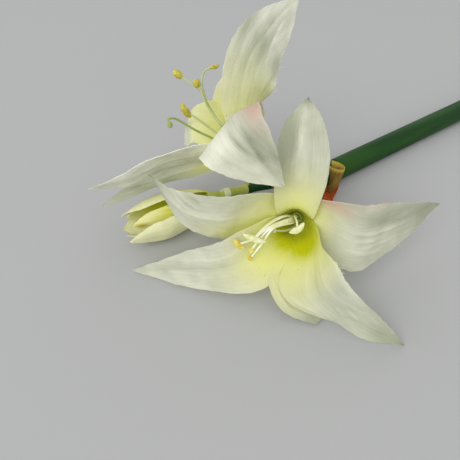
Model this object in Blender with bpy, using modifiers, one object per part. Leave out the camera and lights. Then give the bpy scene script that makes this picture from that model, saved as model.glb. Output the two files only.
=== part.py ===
"""Artificial amaryllis stem: two open silk blooms and a half-open bud on one thick green scape.

The stem lies on a surface, z = 0, and runs along +X to its cut end. Points are given in
millimetres in the stem's own layout: x = 0 at the top of the scape, y = 0 on its axis.
"""
import math

import bmesh
import bpy
import numpy as np

MM = 0.001

# Scape, laid along +X
SCAPE_TOP = 13.0
SCAPE_RADIUS = 8.0
SCAPE_LENGTH = 430.0
SCAPE_SIDES = 40
SCAPE_EDGE = 0.8

# The layout's origin moves to the middle of the footprint
CENTRE_X = 144.9
CENTRE_Y = -30.4

# Gap between pieces that touch
GAP = 0.3

# Flower stalks and throats
STALK_RADIUS = 3.1
STALK_RING = 4.3
THROAT_RADIUS = 2.9
THROAT_SINK = 5.0
JOINT_SWELL = 0.5
SHOULDER_RADIUS = 4.4
SHOULDER_RISE = 8.0
SHOULDER_TOP = 0.9
SHOULDER_SLOPE = 0.25

# Petals
PETAL_THICKNESS = 0.6
PETAL_COLUMNS = 6
BUD_ROWS = 12
BUD_COLUMNS = 4
TIP_HALF_WIDTH = 0.35
LAYER_RADIUS = {"inner": 3.5, "outer": 4.8}
LAYER_START = {"inner": 1.4, "outer": 0.0}
LAYER_SWELL = {"inner": 0.84, "outer": 1.0}
LAYER_FLARE = {"inner": 21.0, "outer": 33.0}
TRUMPET = 22.0

# Each flower: where its throat ends, the way it faces, where its stalk leaves the scape's top
# (degrees round the scape's axis) and how far along the green stalk gives way to the pale throat
FLOWERS = {
    "a": {"neck": (-57, -36, 27), "face": (-0.66, -0.60, 0.45), "stalk_at": 205, "joint": 0.48},
    "b": {"neck": (-62, -8, 44), "face": (-0.36, 0.71, 0.60), "stalk_at": 85, "joint": 0.52},
    "c": {"neck": (-84, 19, 14.5), "face": (-1.00, 0.10, 0.03), "stalk_at": 345, "joint": 0.72},
}

# Each petal: its turn round the mouth (0 up, clockwise as seen from the front), the points that
# its midline passes after the trumpet, half its width, where that is reached and how full it stays
# beyond (taper), the roll of its blade, its cup, its wave, its ridge (height, and its place across
# at the foot and at the tip) and its rows of faces. A bud's petal has its reach, how far it gapes
# and how plump it is.
PETALS = {
    "petal_a1": {"flower": "a", "layer": "inner", "turn": 357, "half_width": 14.5,
                 "roll": 0, "widest": 0.44, "taper": 2.2, "cup": 34, "wave": 0.6, "rows": 14,
                 "ridge": (4.0, -0.3, -0.1),
                 "midline": ((-61, -38.5, 67), (-46, -22, 75), (-28, -4, 80))},
    "petal_a2": {"flower": "a", "layer": "outer", "turn": 60, "half_width": 20.5,
                 "roll": 25, "widest": 0.45, "taper": 1.5, "cup": 6, "wave": 0.6, "rows": 14,
                 "midline": ((-54, -78, 42.5), (-30, -81.5, 38), (14, -80, 33))},
    "petal_a3": {"flower": "a", "layer": "inner", "turn": 120, "half_width": 17,
                 "roll": 0, "widest": 0.45, "taper": 1.8, "cup": 8, "wave": 1.2, "rows": 14,
                 "midline": ((-83, -85, 25), (-71, -106.5, 13), (-55, -123, 1))},
    "petal_a4": {"flower": "a", "layer": "outer", "turn": 180, "half_width": 14.5,
                 "roll": 0, "widest": 0.34, "taper": 1.5, "cup": 0, "wave": 0.6, "rows": 14,
                 "midline": ((-87, -71, 11.5), (-82.5, -83, 4.7), (-78, -96, 1))},
    "petal_a5": {"flower": "a", "layer": "inner", "turn": 240, "half_width": 16,
                 "roll": 0, "widest": 0.40, "taper": 1.6, "cup": 8, "wave": 1.0, "rows": 14,
                 "midline": ((-108, -45, 25), (-127, -24, 13), (-149, 1, 2.3))},
    "petal_a6": {"flower": "a", "layer": "outer", "turn": 300, "half_width": 17,
                 "roll": 0, "widest": 0.44, "taper": 1.8, "cup": 0, "wave": 1.0, "rows": 14,
                 "midline": ((-107, -32, 48), (-119, -14, 46.5), (-120, 25.5, 45.8))},
    "petal_b1": {"flower": "b", "layer": "inner", "turn": 0, "half_width": 19,
                 "roll": 24, "widest": 0.58, "cup": 8, "wave": 0.8, "rows": 14,
                 "midline": ((-64, 4, 95), (-54.5, 9.5, 108), (-26, 15, 128))},
    "petal_b2": {"flower": "b", "layer": "outer", "turn": 48, "half_width": 20,
                 "roll": 0, "widest": 0.5, "cup": 0, "wave": 0.0, "rows": 22,
                 "ridge": (4.5, -0.5, -0.1),
                 "midline": ((-86, -15, 79), (-96, -22, 92), (-99, -30, 92), (-92, -37, 82),
                             (-78, -45, 65))},
    "petal_b3": {"flower": "b", "layer": "inner", "turn": 116, "half_width": 15,
                 "roll": 0, "widest": 0.4, "cup": 0, "wave": 0.6, "rows": 14,
                 "ridge": (4.0, 0.5, 0.2),
                 "midline": ((-108, 22, 50), (-129, 32, 42), (-153, 38, 42))},
    "petal_b4": {"flower": "b", "layer": "outer", "turn": 176, "half_width": 12,
                 "roll": 0, "widest": 0.5, "cup": 10, "wave": 0.6, "rows": 14,
                 "midline": ((-96, 24, 39), (-118, 31, 34.5), (-149, 31, 32))},
    "petal_b5": {"flower": "b", "layer": "inner", "turn": 240, "half_width": 11.5,
                 "roll": 0, "widest": 0.45, "cup": 10, "wave": 0.8, "rows": 14,
                 "midline": ((-80, 38, 60), (-78, 52, 46), (-76, 62, 28))},
    "petal_b6": {"flower": "b", "layer": "outer", "turn": 283, "half_width": 17,
                 "roll": 0, "widest": 0.5, "cup": 10, "wave": 0.8, "rows": 14,
                 "midline": ((-60, 36, 77), (-40, 50, 85), (-13, 57, 89))},
    "petal_c1": {"flower": "c", "layer": "outer", "turn": 312, "half_width": 13, "plump": 0.83,
                 "widest": 0.45, "taper": 3.0, "reach": 57, "gape": -1.5},
    "petal_c2": {"flower": "c", "layer": "inner", "turn": 68, "half_width": 8, "plump": 1.0,
                 "widest": 0.5, "taper": 3.0, "reach": 53, "gape": -1},
    "petal_c3": {"flower": "c", "layer": "outer", "turn": 112, "half_width": 14, "plump": 1.08,
                 "widest": 0.5, "taper": 3.2, "reach": 58, "gape": 2.5},
    "petal_c4": {"flower": "c", "layer": "inner", "turn": 165, "half_width": 8.5, "plump": 1.0,
                 "widest": 0.5, "taper": 3.0, "reach": 56, "gape": 0.5},
    "petal_c5": {"flower": "c", "layer": "outer", "turn": 214, "half_width": 11.5, "plump": 1.0,
                 "widest": 0.5, "taper": 3.0, "reach": 57, "gape": 0},
    "petal_c6": {"flower": "c", "layer": "inner", "turn": 272, "half_width": 8.5, "plump": 0.95,
                 "widest": 0.5, "taper": 3.0, "reach": 53, "gape": -1},
}

# The bud's swelling: share of a petal's reach, and how far it stands out from its foot there
BUD_SHAPE = ((0.0, 0.0), (0.15, 4.2), (0.38, 8.6), (0.62, 9.4), (0.84, 6.6), (1.0, 3.2))

# Dried bracts at the scape's top: a rolled horn with its radii, and a curled tongue
TAN_BRACT = {"midline": ((-2.3, -11.2, 2.9), (0.2, -12.0, 12.9), (3.2, -7.2, 23.9)), "foot": 1.3,
             "mouth": 4.6, "wrap": 160, "slant": 5.0}
RED_BRACT = {"midline": ((12, -3, 1.0), (1, -10, 1.2), (-9, -17, 2.2), (-15, -27, 2.0)),
             "half_width": 5, "curl": 70}

# Filaments: the points that each passes on its way to its anther's middle, where it stands round
# the disc, and the anther's direction, length and half thickness. The last of b is the style.
FILAMENT_RADIUS = 0.8
STAMENS = {
    "a": (
        {"way": ((-73.7, -42, 40), (-86.7, -44.4, 42.5), (-97.2, -47.4, 41)),
         "slot": 330, "along": (9.3, -7.8, -4.7), "anther": (13, 1.7)},
        {"way": ((-70.5, -44.2, 38.2), (-86.2, -45.3, 41.6), (-97.7, -45.7, 39.3), (-104.8, -44, 38.5)),
         "slot": 275, "along": (4, -4.3, -6.2), "anther": (8.5, 1.6)},
        {"way": ((-70.5, -45.2, 37.5), (-85.6, -46, 41), (-94, -47, 38), (-99.3, -47.7, 33.4)),
         "slot": 225, "along": (-1, -0.8, -1.5), "anther": (4, 1.3)},
        {"way": ((-66, -43.4, 37.5), (-70.1, -49.5, 39.8), (-72.9, -53.3, 39.3)),
         "slot": 30, "along": (8.2, -1.9, 4.5), "anther": (9.6, 1.7)},
        {"way": ((-68, -46, 32), (-75.5, -47, 34.5), (-82.5, -46, 37.5)),
         "slot": 90, "along": (-1, 0.2, 0.5), "anther": (3, 1.2)},
        {"way": ((-70.5, -46, 36.5), (-84.6, -46.6, 40.4), (-93.4, -48.4, 35), (-100.4, -48.7, 29.3)),
         "slot": 175, "along": (-1, -0.3, -0.6), "anther": (3, 1.2)},
    ),
    "b": (
        {"way": ((-72, 12, 60), (-76.1, 27.1, 74.7), (-77.2, 31.9, 81.7), (-85, 45, 90)),
         "slot": 200, "along": (-0.6, 0.5, 0.6), "anther": (6.5, 2.2)},
        {"way": ((-70, 12, 61), (-77.5, 25.9, 75.8), (-78.8, 30.2, 83.6), (-80, 33, 88)),
         "slot": 330, "along": (-0.4, -0.2, 1), "anther": (6, 2.1)},
        {"way": ((-73, 9, 58), (-84, 20, 70), (-92, 26, 78)),
         "slot": 60, "along": (-0.5, 0.2, 1), "anther": (10.5, 2.0)},
        {"way": ((-70, 14, 60), (-74.9, 27.9, 73.3), (-74.3, 35, 79.5), (-73, 39, 85),
                 (-70, 40, 90), (-65, 37.5, 92)),
         "slot": 265, "along": (1, 0, 0), "anther": (6.5, 1.2)},
        {"way": ((-74, 10, 56), (-90, 20, 68), (-101, 25, 77), (-104, 25, 77), (-104, 23, 75)),
         "slot": 130, "along": (0, -0.3, -1), "anther": (4, 1.4)},
    ),
}


def vec(point):
    return np.array(point, dtype=float)


def unit(v):
    return v / np.linalg.norm(v)


def placed(points):
    """Layout millimetres to the part's metres, with the origin under the middle of the footprint."""
    return (np.asarray(points, dtype=float) - vec((CENTRE_X, CENTRE_Y, 0))) * MM


def smooth_step(low, high, value):
    t = min(max((value - low) / (high - low), 0.0), 1.0)
    return t * t * (3 - 2 * t)


def spline(points, count):
    """Even points along a smooth curve through the given ones (centripetal Catmull-Rom)."""
    pts = [vec(p) for p in points]
    pts = [2 * pts[0] - pts[1]] + pts + [2 * pts[-1] - pts[-2]]
    dense = []
    for a, b, c, d in zip(pts, pts[1:], pts[2:], pts[3:]):
        t0 = 0.0
        t1 = t0 + math.sqrt(np.linalg.norm(b - a))
        t2 = t1 + math.sqrt(np.linalg.norm(c - b))
        t3 = t2 + math.sqrt(np.linalg.norm(d - c))
        for t in np.linspace(t1, t2, 24, endpoint=False):
            ab = a * (t1 - t) / (t1 - t0) + b * (t - t0) / (t1 - t0)
            bc = b * (t2 - t) / (t2 - t1) + c * (t - t1) / (t2 - t1)
            cd = c * (t3 - t) / (t3 - t2) + d * (t - t2) / (t3 - t2)
            abc = ab * (t2 - t) / (t2 - t0) + bc * (t - t0) / (t2 - t0)
            bcd = bc * (t3 - t) / (t3 - t1) + cd * (t - t1) / (t3 - t1)
            dense.append(abc * (t2 - t) / (t2 - t1) + bcd * (t - t1) / (t2 - t1))
    dense.append(pts[-2])
    dense = np.array(dense)
    steps = np.linalg.norm(np.diff(dense, axis=0), axis=1)
    along = np.concatenate(([0.0], np.cumsum(steps)))
    even = np.linspace(0, along[-1], count)
    return np.stack([np.interp(even, along, dense[:, k]) for k in range(3)], axis=1), along[-1]


def arc(bend, across):
    """Run and rise of an arc of the given bend, a distance across from its middle."""
    if abs(bend) < 1e-5:
        return across, 0.0
    return math.sin(bend * across) / bend, (1 - math.cos(bend * across)) / bend


def mouth_axes(flower):
    """A flower's own axes: the way it faces, up across it, and right as seen from its front."""
    face = unit(vec(FLOWERS[flower]["face"]))
    up = unit(vec((0, 0, 1)) - face[2] * face)
    return face, up, np.cross(up, face)


def petal_frames(spec, rows):
    """Midline points of a petal with, at each, its tangent and the way its inner side looks."""
    face, up, right = mouth_axes(spec["flower"])
    neck = vec(FLOWERS[spec["flower"]]["neck"])
    turn = math.radians(spec["turn"])
    flare = math.radians(LAYER_FLARE[spec["layer"]])
    radius = LAYER_RADIUS[spec["layer"]]
    out = up * math.cos(turn) + right * math.sin(turn)
    run = face * math.cos(flare) + out * math.sin(flare)
    foot = neck + out * radius + face * LAYER_START[spec["layer"]]
    if "reach" in spec:
        plump = LAYER_SWELL[spec["layer"]] * spec["plump"]
        route = [foot + face * spec["reach"] * share + out * (swell * plump + spec["gape"] * share ** 3)
                 for share, swell in BUD_SHAPE]
    else:
        route = [foot, foot + run * TRUMPET * 0.5, foot + run * TRUMPET] + list(spec["midline"])
    points, length = spline(route, rows + 1)
    tangents = np.gradient(points, axis=0)
    tangents /= np.linalg.norm(tangents, axis=1)[:, None]
    inner = face * math.sin(flare) - out * math.cos(flare)
    looks = []
    for tangent in tangents:
        inner = unit(inner - tangent * (inner @ tangent))
        looks.append(inner)
    return points, tangents, np.array(looks), length


def half_width(spec, u):
    """Half width along a petal: a narrow claw, widest near the middle, drawn out to a point."""
    widest = spec.get("widest", 0.5)
    base = LAYER_RADIUS[spec["layer"]] * 0.85
    full = spec["half_width"]
    if u < widest:
        return base + (full - base) * math.sin(0.5 * math.pi * u / widest) ** 1.5
    t = (u - widest) / (1 - widest)
    return max(full * (1 - t ** spec.get("taper", 1.8)), TIP_HALF_WIDTH)


def across_bend(spec, centre, run):
    """How sharply a petal is bent across: round the flower's middle line, then by its own cup."""
    flare = math.radians(LAYER_FLARE[spec["layer"]])
    radius = LAYER_RADIUS[spec["layer"]]
    if "reach" in spec:
        face = mouth_axes(spec["flower"])[0]
        offset = centre - vec(FLOWERS[spec["flower"]]["neck"])
        return 1 / np.linalg.norm(offset - face * (offset @ face))
    opened = smooth_step(0.8 * TRUMPET, 2.2 * TRUMPET, run)
    ring = math.cos(flare) / (radius + min(run, 1.6 * TRUMPET) * math.sin(flare))
    return ring * (1 - opened) + math.radians(spec["cup"]) / spec["half_width"] * opened


def ridge(spec, u, v):
    """Height of a fold along a petal, which slopes down to both edges."""
    height, low, high = spec.get("ridge", (0, 0, 0))
    spine = low + (high - low) * u
    slope = (v - spine) / (1 - spine) if v > spine else (spine - v) / (1 + spine)
    return height * (1 - slope) * half_width(spec, u) / spec["half_width"]


def petal_point(spec, length, centre, tangent, look, u, v):
    """A point of a petal's inner side, u along it from 0 to 1 and v across it from -1 to 1."""
    opened = smooth_step(0.8 * TRUMPET, 2.2 * TRUMPET, u * length)
    bend = across_bend(spec, centre, u * length)
    side = np.cross(tangent, look)
    roll = math.radians(spec.get("roll", 0)) * opened
    side, look = (side * math.cos(roll) + look * math.sin(roll),
                  look * math.cos(roll) - side * math.sin(roll))
    across = v * half_width(spec, u)
    run, lift = arc(bend, across)
    wave = spec.get("wave", 0) * opened * v * v * math.sin(2 * math.pi * (2.2 * u + 0.35 * np.sign(v)))
    lift += (wave + ridge(spec, u, v) * opened) * (1 - u ** 6)
    return centre + side * run + look * lift


def petal_grid(spec, rows, columns):
    points, tangents, looks, length = petal_frames(spec, rows)
    grid = np.zeros((rows + 1, columns + 1, 3))
    for i in range(rows + 1):
        for j in range(columns + 1):
            grid[i, j] = petal_point(spec, length, points[i], tangents[i], looks[i],
                                     i / rows, 2 * j / columns - 1)
    return grid


def material(name, colour, roughness):
    made = bpy.data.materials.new(name)
    made.use_nodes = True
    shader = made.node_tree.nodes["Principled BSDF"]
    shader.inputs["Base Color"].default_value = (*colour, 1)
    shader.inputs["Roughness"].default_value = roughness
    shader.inputs["Metallic"].default_value = 0.0
    return made


def add_object(name, data, finish):
    piece = bpy.data.objects.new(name, data)
    bpy.data.collections["amaryllis_stem"].objects.link(piece)
    piece.data.materials.append(finish)
    return piece


def add_sheet(name, points, finish):
    """A thin piece: a flat grid laid on the points, split into triangles and given its thickness."""
    rows = len(points) - 1
    columns = len(points[0]) - 1
    bm = bmesh.new()
    bmesh.ops.create_grid(bm, x_segments=rows, y_segments=columns, size=0.5)
    for vert in bm.verts:
        i = round((vert.co.x + 0.5) * rows)
        j = round((0.5 - vert.co.y) * columns)
        vert.co = placed(points[i][j])
    bmesh.ops.triangulate(bm, faces=bm.faces, quad_method="ALTERNATE")
    mesh = bpy.data.meshes.new(name)
    bm.to_mesh(mesh)
    bm.free()
    mesh.shade_smooth()
    piece = add_object(name, mesh, finish)
    shell = piece.modifiers.new("thickness", "SOLIDIFY")
    shell.thickness = PETAL_THICKNESS * MM
    shell.offset = -1
    return piece


def turned_look(tangents, look):
    """An inward look carried along a line without twisting."""
    looks = []
    for tangent in tangents:
        look = unit(look - tangent * (look @ tangent))
        looks.append(look)
    return np.array(looks)


def tangents_of(points):
    tangents = np.gradient(points, axis=0)
    return tangents / np.linalg.norm(tangents, axis=1)[:, None]


def add_tan_bract(finish):
    """A dried bract rolled into a small horn beside the scape, its mouth cut on the slant."""
    spec = TAN_BRACT
    rows, columns = 5, 12
    points = spline(spec["midline"], rows + 1)[0]
    tangents = tangents_of(points)
    looks = turned_look(tangents, vec((0, 8, 0)))
    grid = np.zeros((rows + 1, columns + 1, 3))
    for i in range(rows + 1):
        u = i / rows
        radius = spec["foot"] + (spec["mouth"] - spec["foot"]) * u ** 0.7
        side = np.cross(tangents[i], looks[i])
        for j in range(columns + 1):
            angle = math.radians(spec["wrap"]) * (2 * j / columns - 1)
            drop = spec["slant"] * u * (0.5 + 0.5 * math.cos(angle))
            grid[i, j] = (points[i] + side * radius * math.sin(angle)
                          - looks[i] * radius * math.cos(angle) - tangents[i] * drop)
    add_sheet("bract_tan", grid, finish)


def add_red_bract(finish):
    """A small curled tongue that hangs from the scape's top."""
    spec = RED_BRACT
    rows, columns = 8, 6
    points = spline(spec["midline"], rows + 1)[0]
    tangents = tangents_of(points)
    looks = turned_look(tangents, vec((0, 0, 1)))
    grid = np.zeros((rows + 1, columns + 1, 3))
    for i in range(rows + 1):
        u = i / rows
        width = max(spec["half_width"] * math.sin(math.pi * (0.2 + 0.8 * u)) ** 0.7, TIP_HALF_WIDTH)
        side = np.cross(tangents[i], looks[i])
        for j in range(columns + 1):
            across = width * (2 * j / columns - 1)
            run, lift = arc(math.radians(spec["curl"] * u) / spec["half_width"], across)
            grid[i, j] = points[i] + side * run + looks[i] * lift
    add_sheet("bract_red", grid, finish)


def rod_curve(name, points, radii, sides=3):
    """A round rod along the points, with a radius at each and flat closed ends."""
    curve = bpy.data.curves.new(name, "CURVE")
    curve.dimensions = "3D"
    curve.bevel_depth = MM
    curve.bevel_resolution = sides
    curve.use_fill_caps = True
    line = curve.splines.new("POLY")
    line.points.add(len(points) - 1)
    for point, place, radius in zip(line.points, placed(points), radii):
        point.co = (*place, 1)
        point.radius = radius
    return curve


def stalk_route(flower):
    """From the scape's top to a flower's neck: a curve that leaves straight and arrives facing its way."""
    spec = FLOWERS[flower]
    face = mouth_axes(flower)[0]
    neck = vec(spec["neck"])
    angle = math.radians(spec["stalk_at"])
    height = SCAPE_RADIUS + STALK_RING * math.sin(angle)
    start = vec((SCAPE_TOP - GAP, STALK_RING * math.cos(angle), height))
    reach = np.linalg.norm(neck - start)
    first = start + vec((-1, 0, 0)) * reach * 0.38
    last = neck - face * reach * 0.38
    t = np.linspace(0, 1, 19)[:, None]
    return ((1 - t) ** 3 * start + 3 * (1 - t) ** 2 * t * first
            + 3 * (1 - t) * t ** 2 * last + t ** 3 * neck)


def add_stalk_and_throat(flower, stalk_finish, throat_finish):
    route = stalk_route(flower)
    face = mouth_axes(flower)[0]
    joint = round(FLOWERS[flower]["joint"] * (len(route) - 1))
    stalk = route[:joint + 1]
    radii = [STALK_RADIUS] * len(stalk)
    radii[-1] += JOINT_SWELL
    radii[-2] += JOINT_SWELL / 2
    add_object("stalk_" + flower, rod_curve("stalk_" + flower, stalk, radii), stalk_finish)
    way = unit(route[joint + 1] - route[joint])
    neck = route[-1]
    throat = [route[joint] + way * GAP] + list(route[joint + 1:])
    radii = []
    for point in throat:
        shoulder = smooth_step(-SHOULDER_RISE, 0, -np.linalg.norm(neck - point))
        radii.append(THROAT_RADIUS + (SHOULDER_RADIUS - THROAT_RADIUS) * shoulder)
    radii[0] += JOINT_SWELL
    radii[1] += JOINT_SWELL / 2
    tip_radius = LAYER_RADIUS["inner"] - GAP
    throat += [neck + face * SHOULDER_TOP, neck + face * (SHOULDER_TOP + SHOULDER_SLOPE),
               neck + face * THROAT_SINK]
    radii += [SHOULDER_RADIUS, tip_radius, tip_radius]
    add_object("throat_" + flower, rod_curve("throat_" + flower, throat, radii), throat_finish)


def mesh_of(curve):
    """A curve made a closed mesh: its caps are welded to its wall."""
    holder = bpy.data.objects.new(curve.name, curve)
    bpy.context.scene.collection.objects.link(holder)
    bpy.context.view_layer.update()
    mesh = bpy.data.meshes.new_from_object(holder.evaluated_get(bpy.context.evaluated_depsgraph_get()))
    bpy.data.objects.remove(holder)
    bm = bmesh.new()
    bm.from_mesh(mesh)
    bmesh.ops.remove_doubles(bm, verts=bm.verts, dist=0.01 * MM)
    bm.to_mesh(mesh)
    bm.free()
    return mesh


def anther_mesh(name, middle, along, length, half_thick):
    """A long rounded anther about its middle."""
    bm = bmesh.new()
    bmesh.ops.create_icosphere(bm, subdivisions=1, radius=1)
    axis = unit(vec(along))
    side = unit(np.cross(axis, vec((0.1, 0.3, 1))))
    third = np.cross(axis, side)
    for vert in bm.verts:
        point = (vec(middle) + axis * vert.co.x * length / 2 + side * vert.co.y * half_thick
                 + third * vert.co.z * half_thick)
        vert.co = placed(point)
    bmesh.ops.recalc_face_normals(bm, faces=bm.faces)
    mesh = bpy.data.meshes.new(name)
    bm.to_mesh(mesh)
    bm.free()
    return mesh


def add_stamens(flower, finish):
    """A flower's filaments with their anthers and the disc that they stand on, one moulding."""
    face, up, right = mouth_axes(flower)
    foot = vec(FLOWERS[flower]["neck"]) + face * (THROAT_SINK + GAP)
    disc = rod_curve("disc", [foot, foot + face * 1.2, foot + face * 2.4], [2.5, 2.5, 2.2])
    meshes = []
    ring = STAMENS[flower]
    for spec in ring:
        angle = math.radians(spec["slot"])
        start = foot + face * 1.2 + (up * math.cos(angle) + right * math.sin(angle)) * 1.4
        route = spline([start] + list(spec["way"]), 2 + 3 * len(spec["way"]))[0]
        radii = [FILAMENT_RADIUS] * len(route)
        meshes.append(mesh_of(rod_curve("filament", route, radii, sides=1)))
        meshes.append(anther_mesh("anther", spec["way"][-1], spec["along"], *spec["anther"]))
    joined = bpy.data.collections.new("stamen_pieces_" + flower)
    bpy.context.scene.collection.children.link(joined)
    for mesh in meshes:
        joined.objects.link(bpy.data.objects.new(mesh.name, mesh))
    piece = add_object("stamens_" + flower, mesh_of(disc), finish)
    union = piece.modifiers.new("one_moulding", "BOOLEAN")
    union.operation = "UNION"
    union.operand_type = "COLLECTION"
    union.collection = joined
    bpy.context.view_layer.update()
    solid = bpy.data.meshes.new_from_object(piece.evaluated_get(bpy.context.evaluated_depsgraph_get()))
    piece.modifiers.clear()
    piece.data = solid
    for part in list(joined.objects):
        bpy.data.objects.remove(part)
    bpy.data.collections.remove(joined)


def add_scape(finish):
    bm = bmesh.new()
    bmesh.ops.create_cone(bm, cap_ends=True, segments=SCAPE_SIDES, radius1=SCAPE_RADIUS * MM,
                          radius2=SCAPE_RADIUS * MM, depth=SCAPE_LENGTH * MM)
    mesh = bpy.data.meshes.new("stem")
    bm.to_mesh(mesh)
    bm.free()
    piece = add_object("stem", mesh, finish)
    piece.rotation_euler = (0, math.pi / 2, 0)
    piece.location = placed((SCAPE_TOP + SCAPE_LENGTH / 2, 0, SCAPE_RADIUS))
    edge = piece.modifiers.new("eased_ends", "BEVEL")
    edge.width = SCAPE_EDGE * MM
    edge.segments = 2
    edge.limit_method = "ANGLE"
    mesh.shade_smooth()
    mesh.set_sharp_from_angle(angle=math.radians(40))


def clear_scene():
    for old in list(bpy.data.objects):
        bpy.data.objects.remove(old)


def main():
    clear_scene()
    parts = bpy.data.collections.new("amaryllis_stem")
    bpy.context.scene.collection.children.link(parts)
    green = material("coated_stem_green", (0.03, 0.09, 0.03), 0.4)
    pale = material("moulded_pale_green", (0.55, 0.6, 0.2), 0.5)
    silk = material("cream_silk", (0.82, 0.84, 0.7), 0.8)
    add_scape(green)
    for flower in FLOWERS:
        add_stalk_and_throat(flower, green, pale)
    for name, spec in PETALS.items():
        if "reach" in spec:
            grid = petal_grid(spec, BUD_ROWS, BUD_COLUMNS)
        else:
            grid = petal_grid(spec, spec["rows"], PETAL_COLUMNS)
        add_sheet(name, grid, silk)
    add_tan_bract(material("dried_tan_bract", (0.35, 0.22, 0.07), 0.7))
    add_red_bract(material("orange_red_bract", (0.5, 0.12, 0.03), 0.6))
    for flower in STAMENS:
        add_stamens(flower, material("moulded_cream_" + flower, (0.85, 0.85, 0.45), 0.5))


main()
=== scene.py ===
import math
from functools import partial

import bpy
import numpy as np
from mathutils import Matrix, Vector


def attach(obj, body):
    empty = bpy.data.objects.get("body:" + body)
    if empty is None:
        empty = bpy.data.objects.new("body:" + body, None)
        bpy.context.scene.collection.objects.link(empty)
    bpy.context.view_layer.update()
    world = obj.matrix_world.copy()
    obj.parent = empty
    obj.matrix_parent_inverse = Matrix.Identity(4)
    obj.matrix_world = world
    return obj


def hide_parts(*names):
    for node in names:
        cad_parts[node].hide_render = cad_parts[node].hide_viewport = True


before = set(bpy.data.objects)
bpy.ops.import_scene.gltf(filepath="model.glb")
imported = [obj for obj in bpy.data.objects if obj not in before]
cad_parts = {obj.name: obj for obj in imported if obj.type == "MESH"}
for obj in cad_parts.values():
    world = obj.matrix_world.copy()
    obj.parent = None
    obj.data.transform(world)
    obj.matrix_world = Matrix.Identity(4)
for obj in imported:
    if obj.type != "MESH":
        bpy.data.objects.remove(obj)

bl_info = {
    "name": "Silk amaryllis stem",
    "version": (1, 0, 0),
    "blender": (4, 5, 0),
    "location": "3D View > Sidebar > Amaryllis",
    "description": "Dresses the frame of an artificial amaryllis stem with two blooms and a bud",
    "category": "Object",
}

MM = 0.001

# The frame's own layout, in millimetres: x runs along the scape, y = 0 on its axis and z = 0 on the
# surface under it. CENTRE is the place that the frame has at its origin.
CENTRE = np.array((144.9, -30.4, 0.0))
GAP = 0.3

# The scape, and the rounded edges of its ends: distance from the end and from the side. The rings of
# its plain length start PLAIN_FROM its ends.
SCAPE_TOP = 13.0
SCAPE_RADIUS = 8.0
SCAPE_LENGTH = 430.0
TOP_EDGE = ((0, 2.0), (0, 0.8), (0.25, 0.25), (0.8, 0))
CUT_EDGE = ((0.8, 0), (0.25, 0.25), (0, 0.8), (0, 3.0))
PLAIN_FROM = 4.0
PLAIN_RINGS = 60
SCAPE_SIDES = 64
# Places along X, in metres, between which the worn tone of its top end runs out
WORN_END = (-0.13, -0.09)

# The stalks and throats. Their route has FINER steps for each of the frame's, and the stalk ends at the
# flower's joint, a share of the route. Both swell towards the joint, over this many steps.
STALK_RADIUS = 3.1
STALK_RING = 4.3
STALK_EASE = 0.38
STALK_STEPS = 18
FINER = 5
THROAT_RADIUS = 2.9
THROAT_SINK = 5.0
JOINT_SWELL = 0.5
STALK_SWELL_STEPS = 8
THROAT_SWELL_STEPS = 6
SHOULDER_RADIUS = 4.4
SHOULDER_RISE = 8.0
SHOULDER_TOP = 0.9
SHOULDER_SLOPE = 0.25

# On the bud's throat: a ring with a knob and, nearer the scape, a small pointed lobe. Each sits at a step
# of the route. The ring stands out this much at its edges, and this much more in its middle. The knob
# and the lobe lean along x, reach up from the route and have their radii.
RING_STEPS = slice(77, 82)
RING_RISE = (0.2, 0.5)
KNOB = {"step": 82, "lean": 0, "reach": (1.5, 4.2), "radii": (1.2, 1.2, 1.1, 1.0, 0.8, 0.5, 0.2)}
LOBE = {"step": 66, "lean": 0.45, "reach": (2.2, 5.6), "radii": (1.4, 1.3, 1.1, 0.9, 0.6, 0.35, 0.1)}

# The petals of a layer: where they leave the throat, how plump they are in the bud and how far they
# flare (degrees)
LAYER_RADIUS = {"inner": 3.5, "outer": 4.8}
LAYER_START = {"inner": 1.4, "outer": 0.0}
LAYER_SWELL = {"inner": 0.84, "outer": 1.0}
LAYER_FLARE = {"inner": 21.0, "outer": 33.0}

# The trumpet's depth, and in shares of it where a petal starts to leave it and has left it, and how far
# it stays round. CLAW_WIDTH is a share of the layer's radius, BUD_SHAPE shares of the reach and bulges.
TRUMPET = 22.0
TRUMPET_ENDS = (0.8, 2.2)
ROUND_UNTIL = 1.6
CLAW_WIDTH = 0.85
TIP_HALF_WIDTH = 0.35
BUD_SHAPE = ((0.0, 0.0), (0.15, 4.2), (0.38, 8.6), (0.62, 9.4), (0.84, 6.6), (1.0, 3.2))

# Steps between two points of a drawn line; the look across a tube, a way that no line here runs; points
# merged at its seam when nearer than this (mm); cosine waves in an uneven surface, and how their lengths
# differ; and the angle up to which faces are shaded as one surface
SPLINE_STEPS = 96
TUBE_LOOK = (0.13, 0.21, 1.0)
MERGED_BELOW = 0.001
RIPPLE_WAVES = 9
RIPPLE_SPREAD = (0.7, 1.5)
SMOOTH_ANGLE = math.radians(50)

# How the silk is uneven: the size of the features, their weight, how far apart the two edges of a petal
# lie in the pattern, the waves along an edge, the creases' height and rounded crests, and how far a
# tucked tip lies above its petal, with its rise in each row
WANDER = 16.0
FINE_WANDER = 4.5
FINE_SHARE = 0.3
EDGE_WANDER = 5.0
EDGE_DEPTH = 0.25
EDGES_APART = 40.0
FRAY_GRAIN = 1.6
FRAYS_APART = 9.0
FRAY_ENDS = (0.05, 0.03)
VEIN_SPACING = 1.8
EDGE_WAVES = 2.2
WAVE_LAG = 0.35
CREASE_RELIEF = 1.4
CREST_ROUND = 0.05
CREST_RAISE = 0.22
TUCK_GAP = 0.45
TUCK_RISE = 0.05
SEEDS = {"fine": 20, "edge": 50, "fray": 70, "threads": 90}

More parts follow.
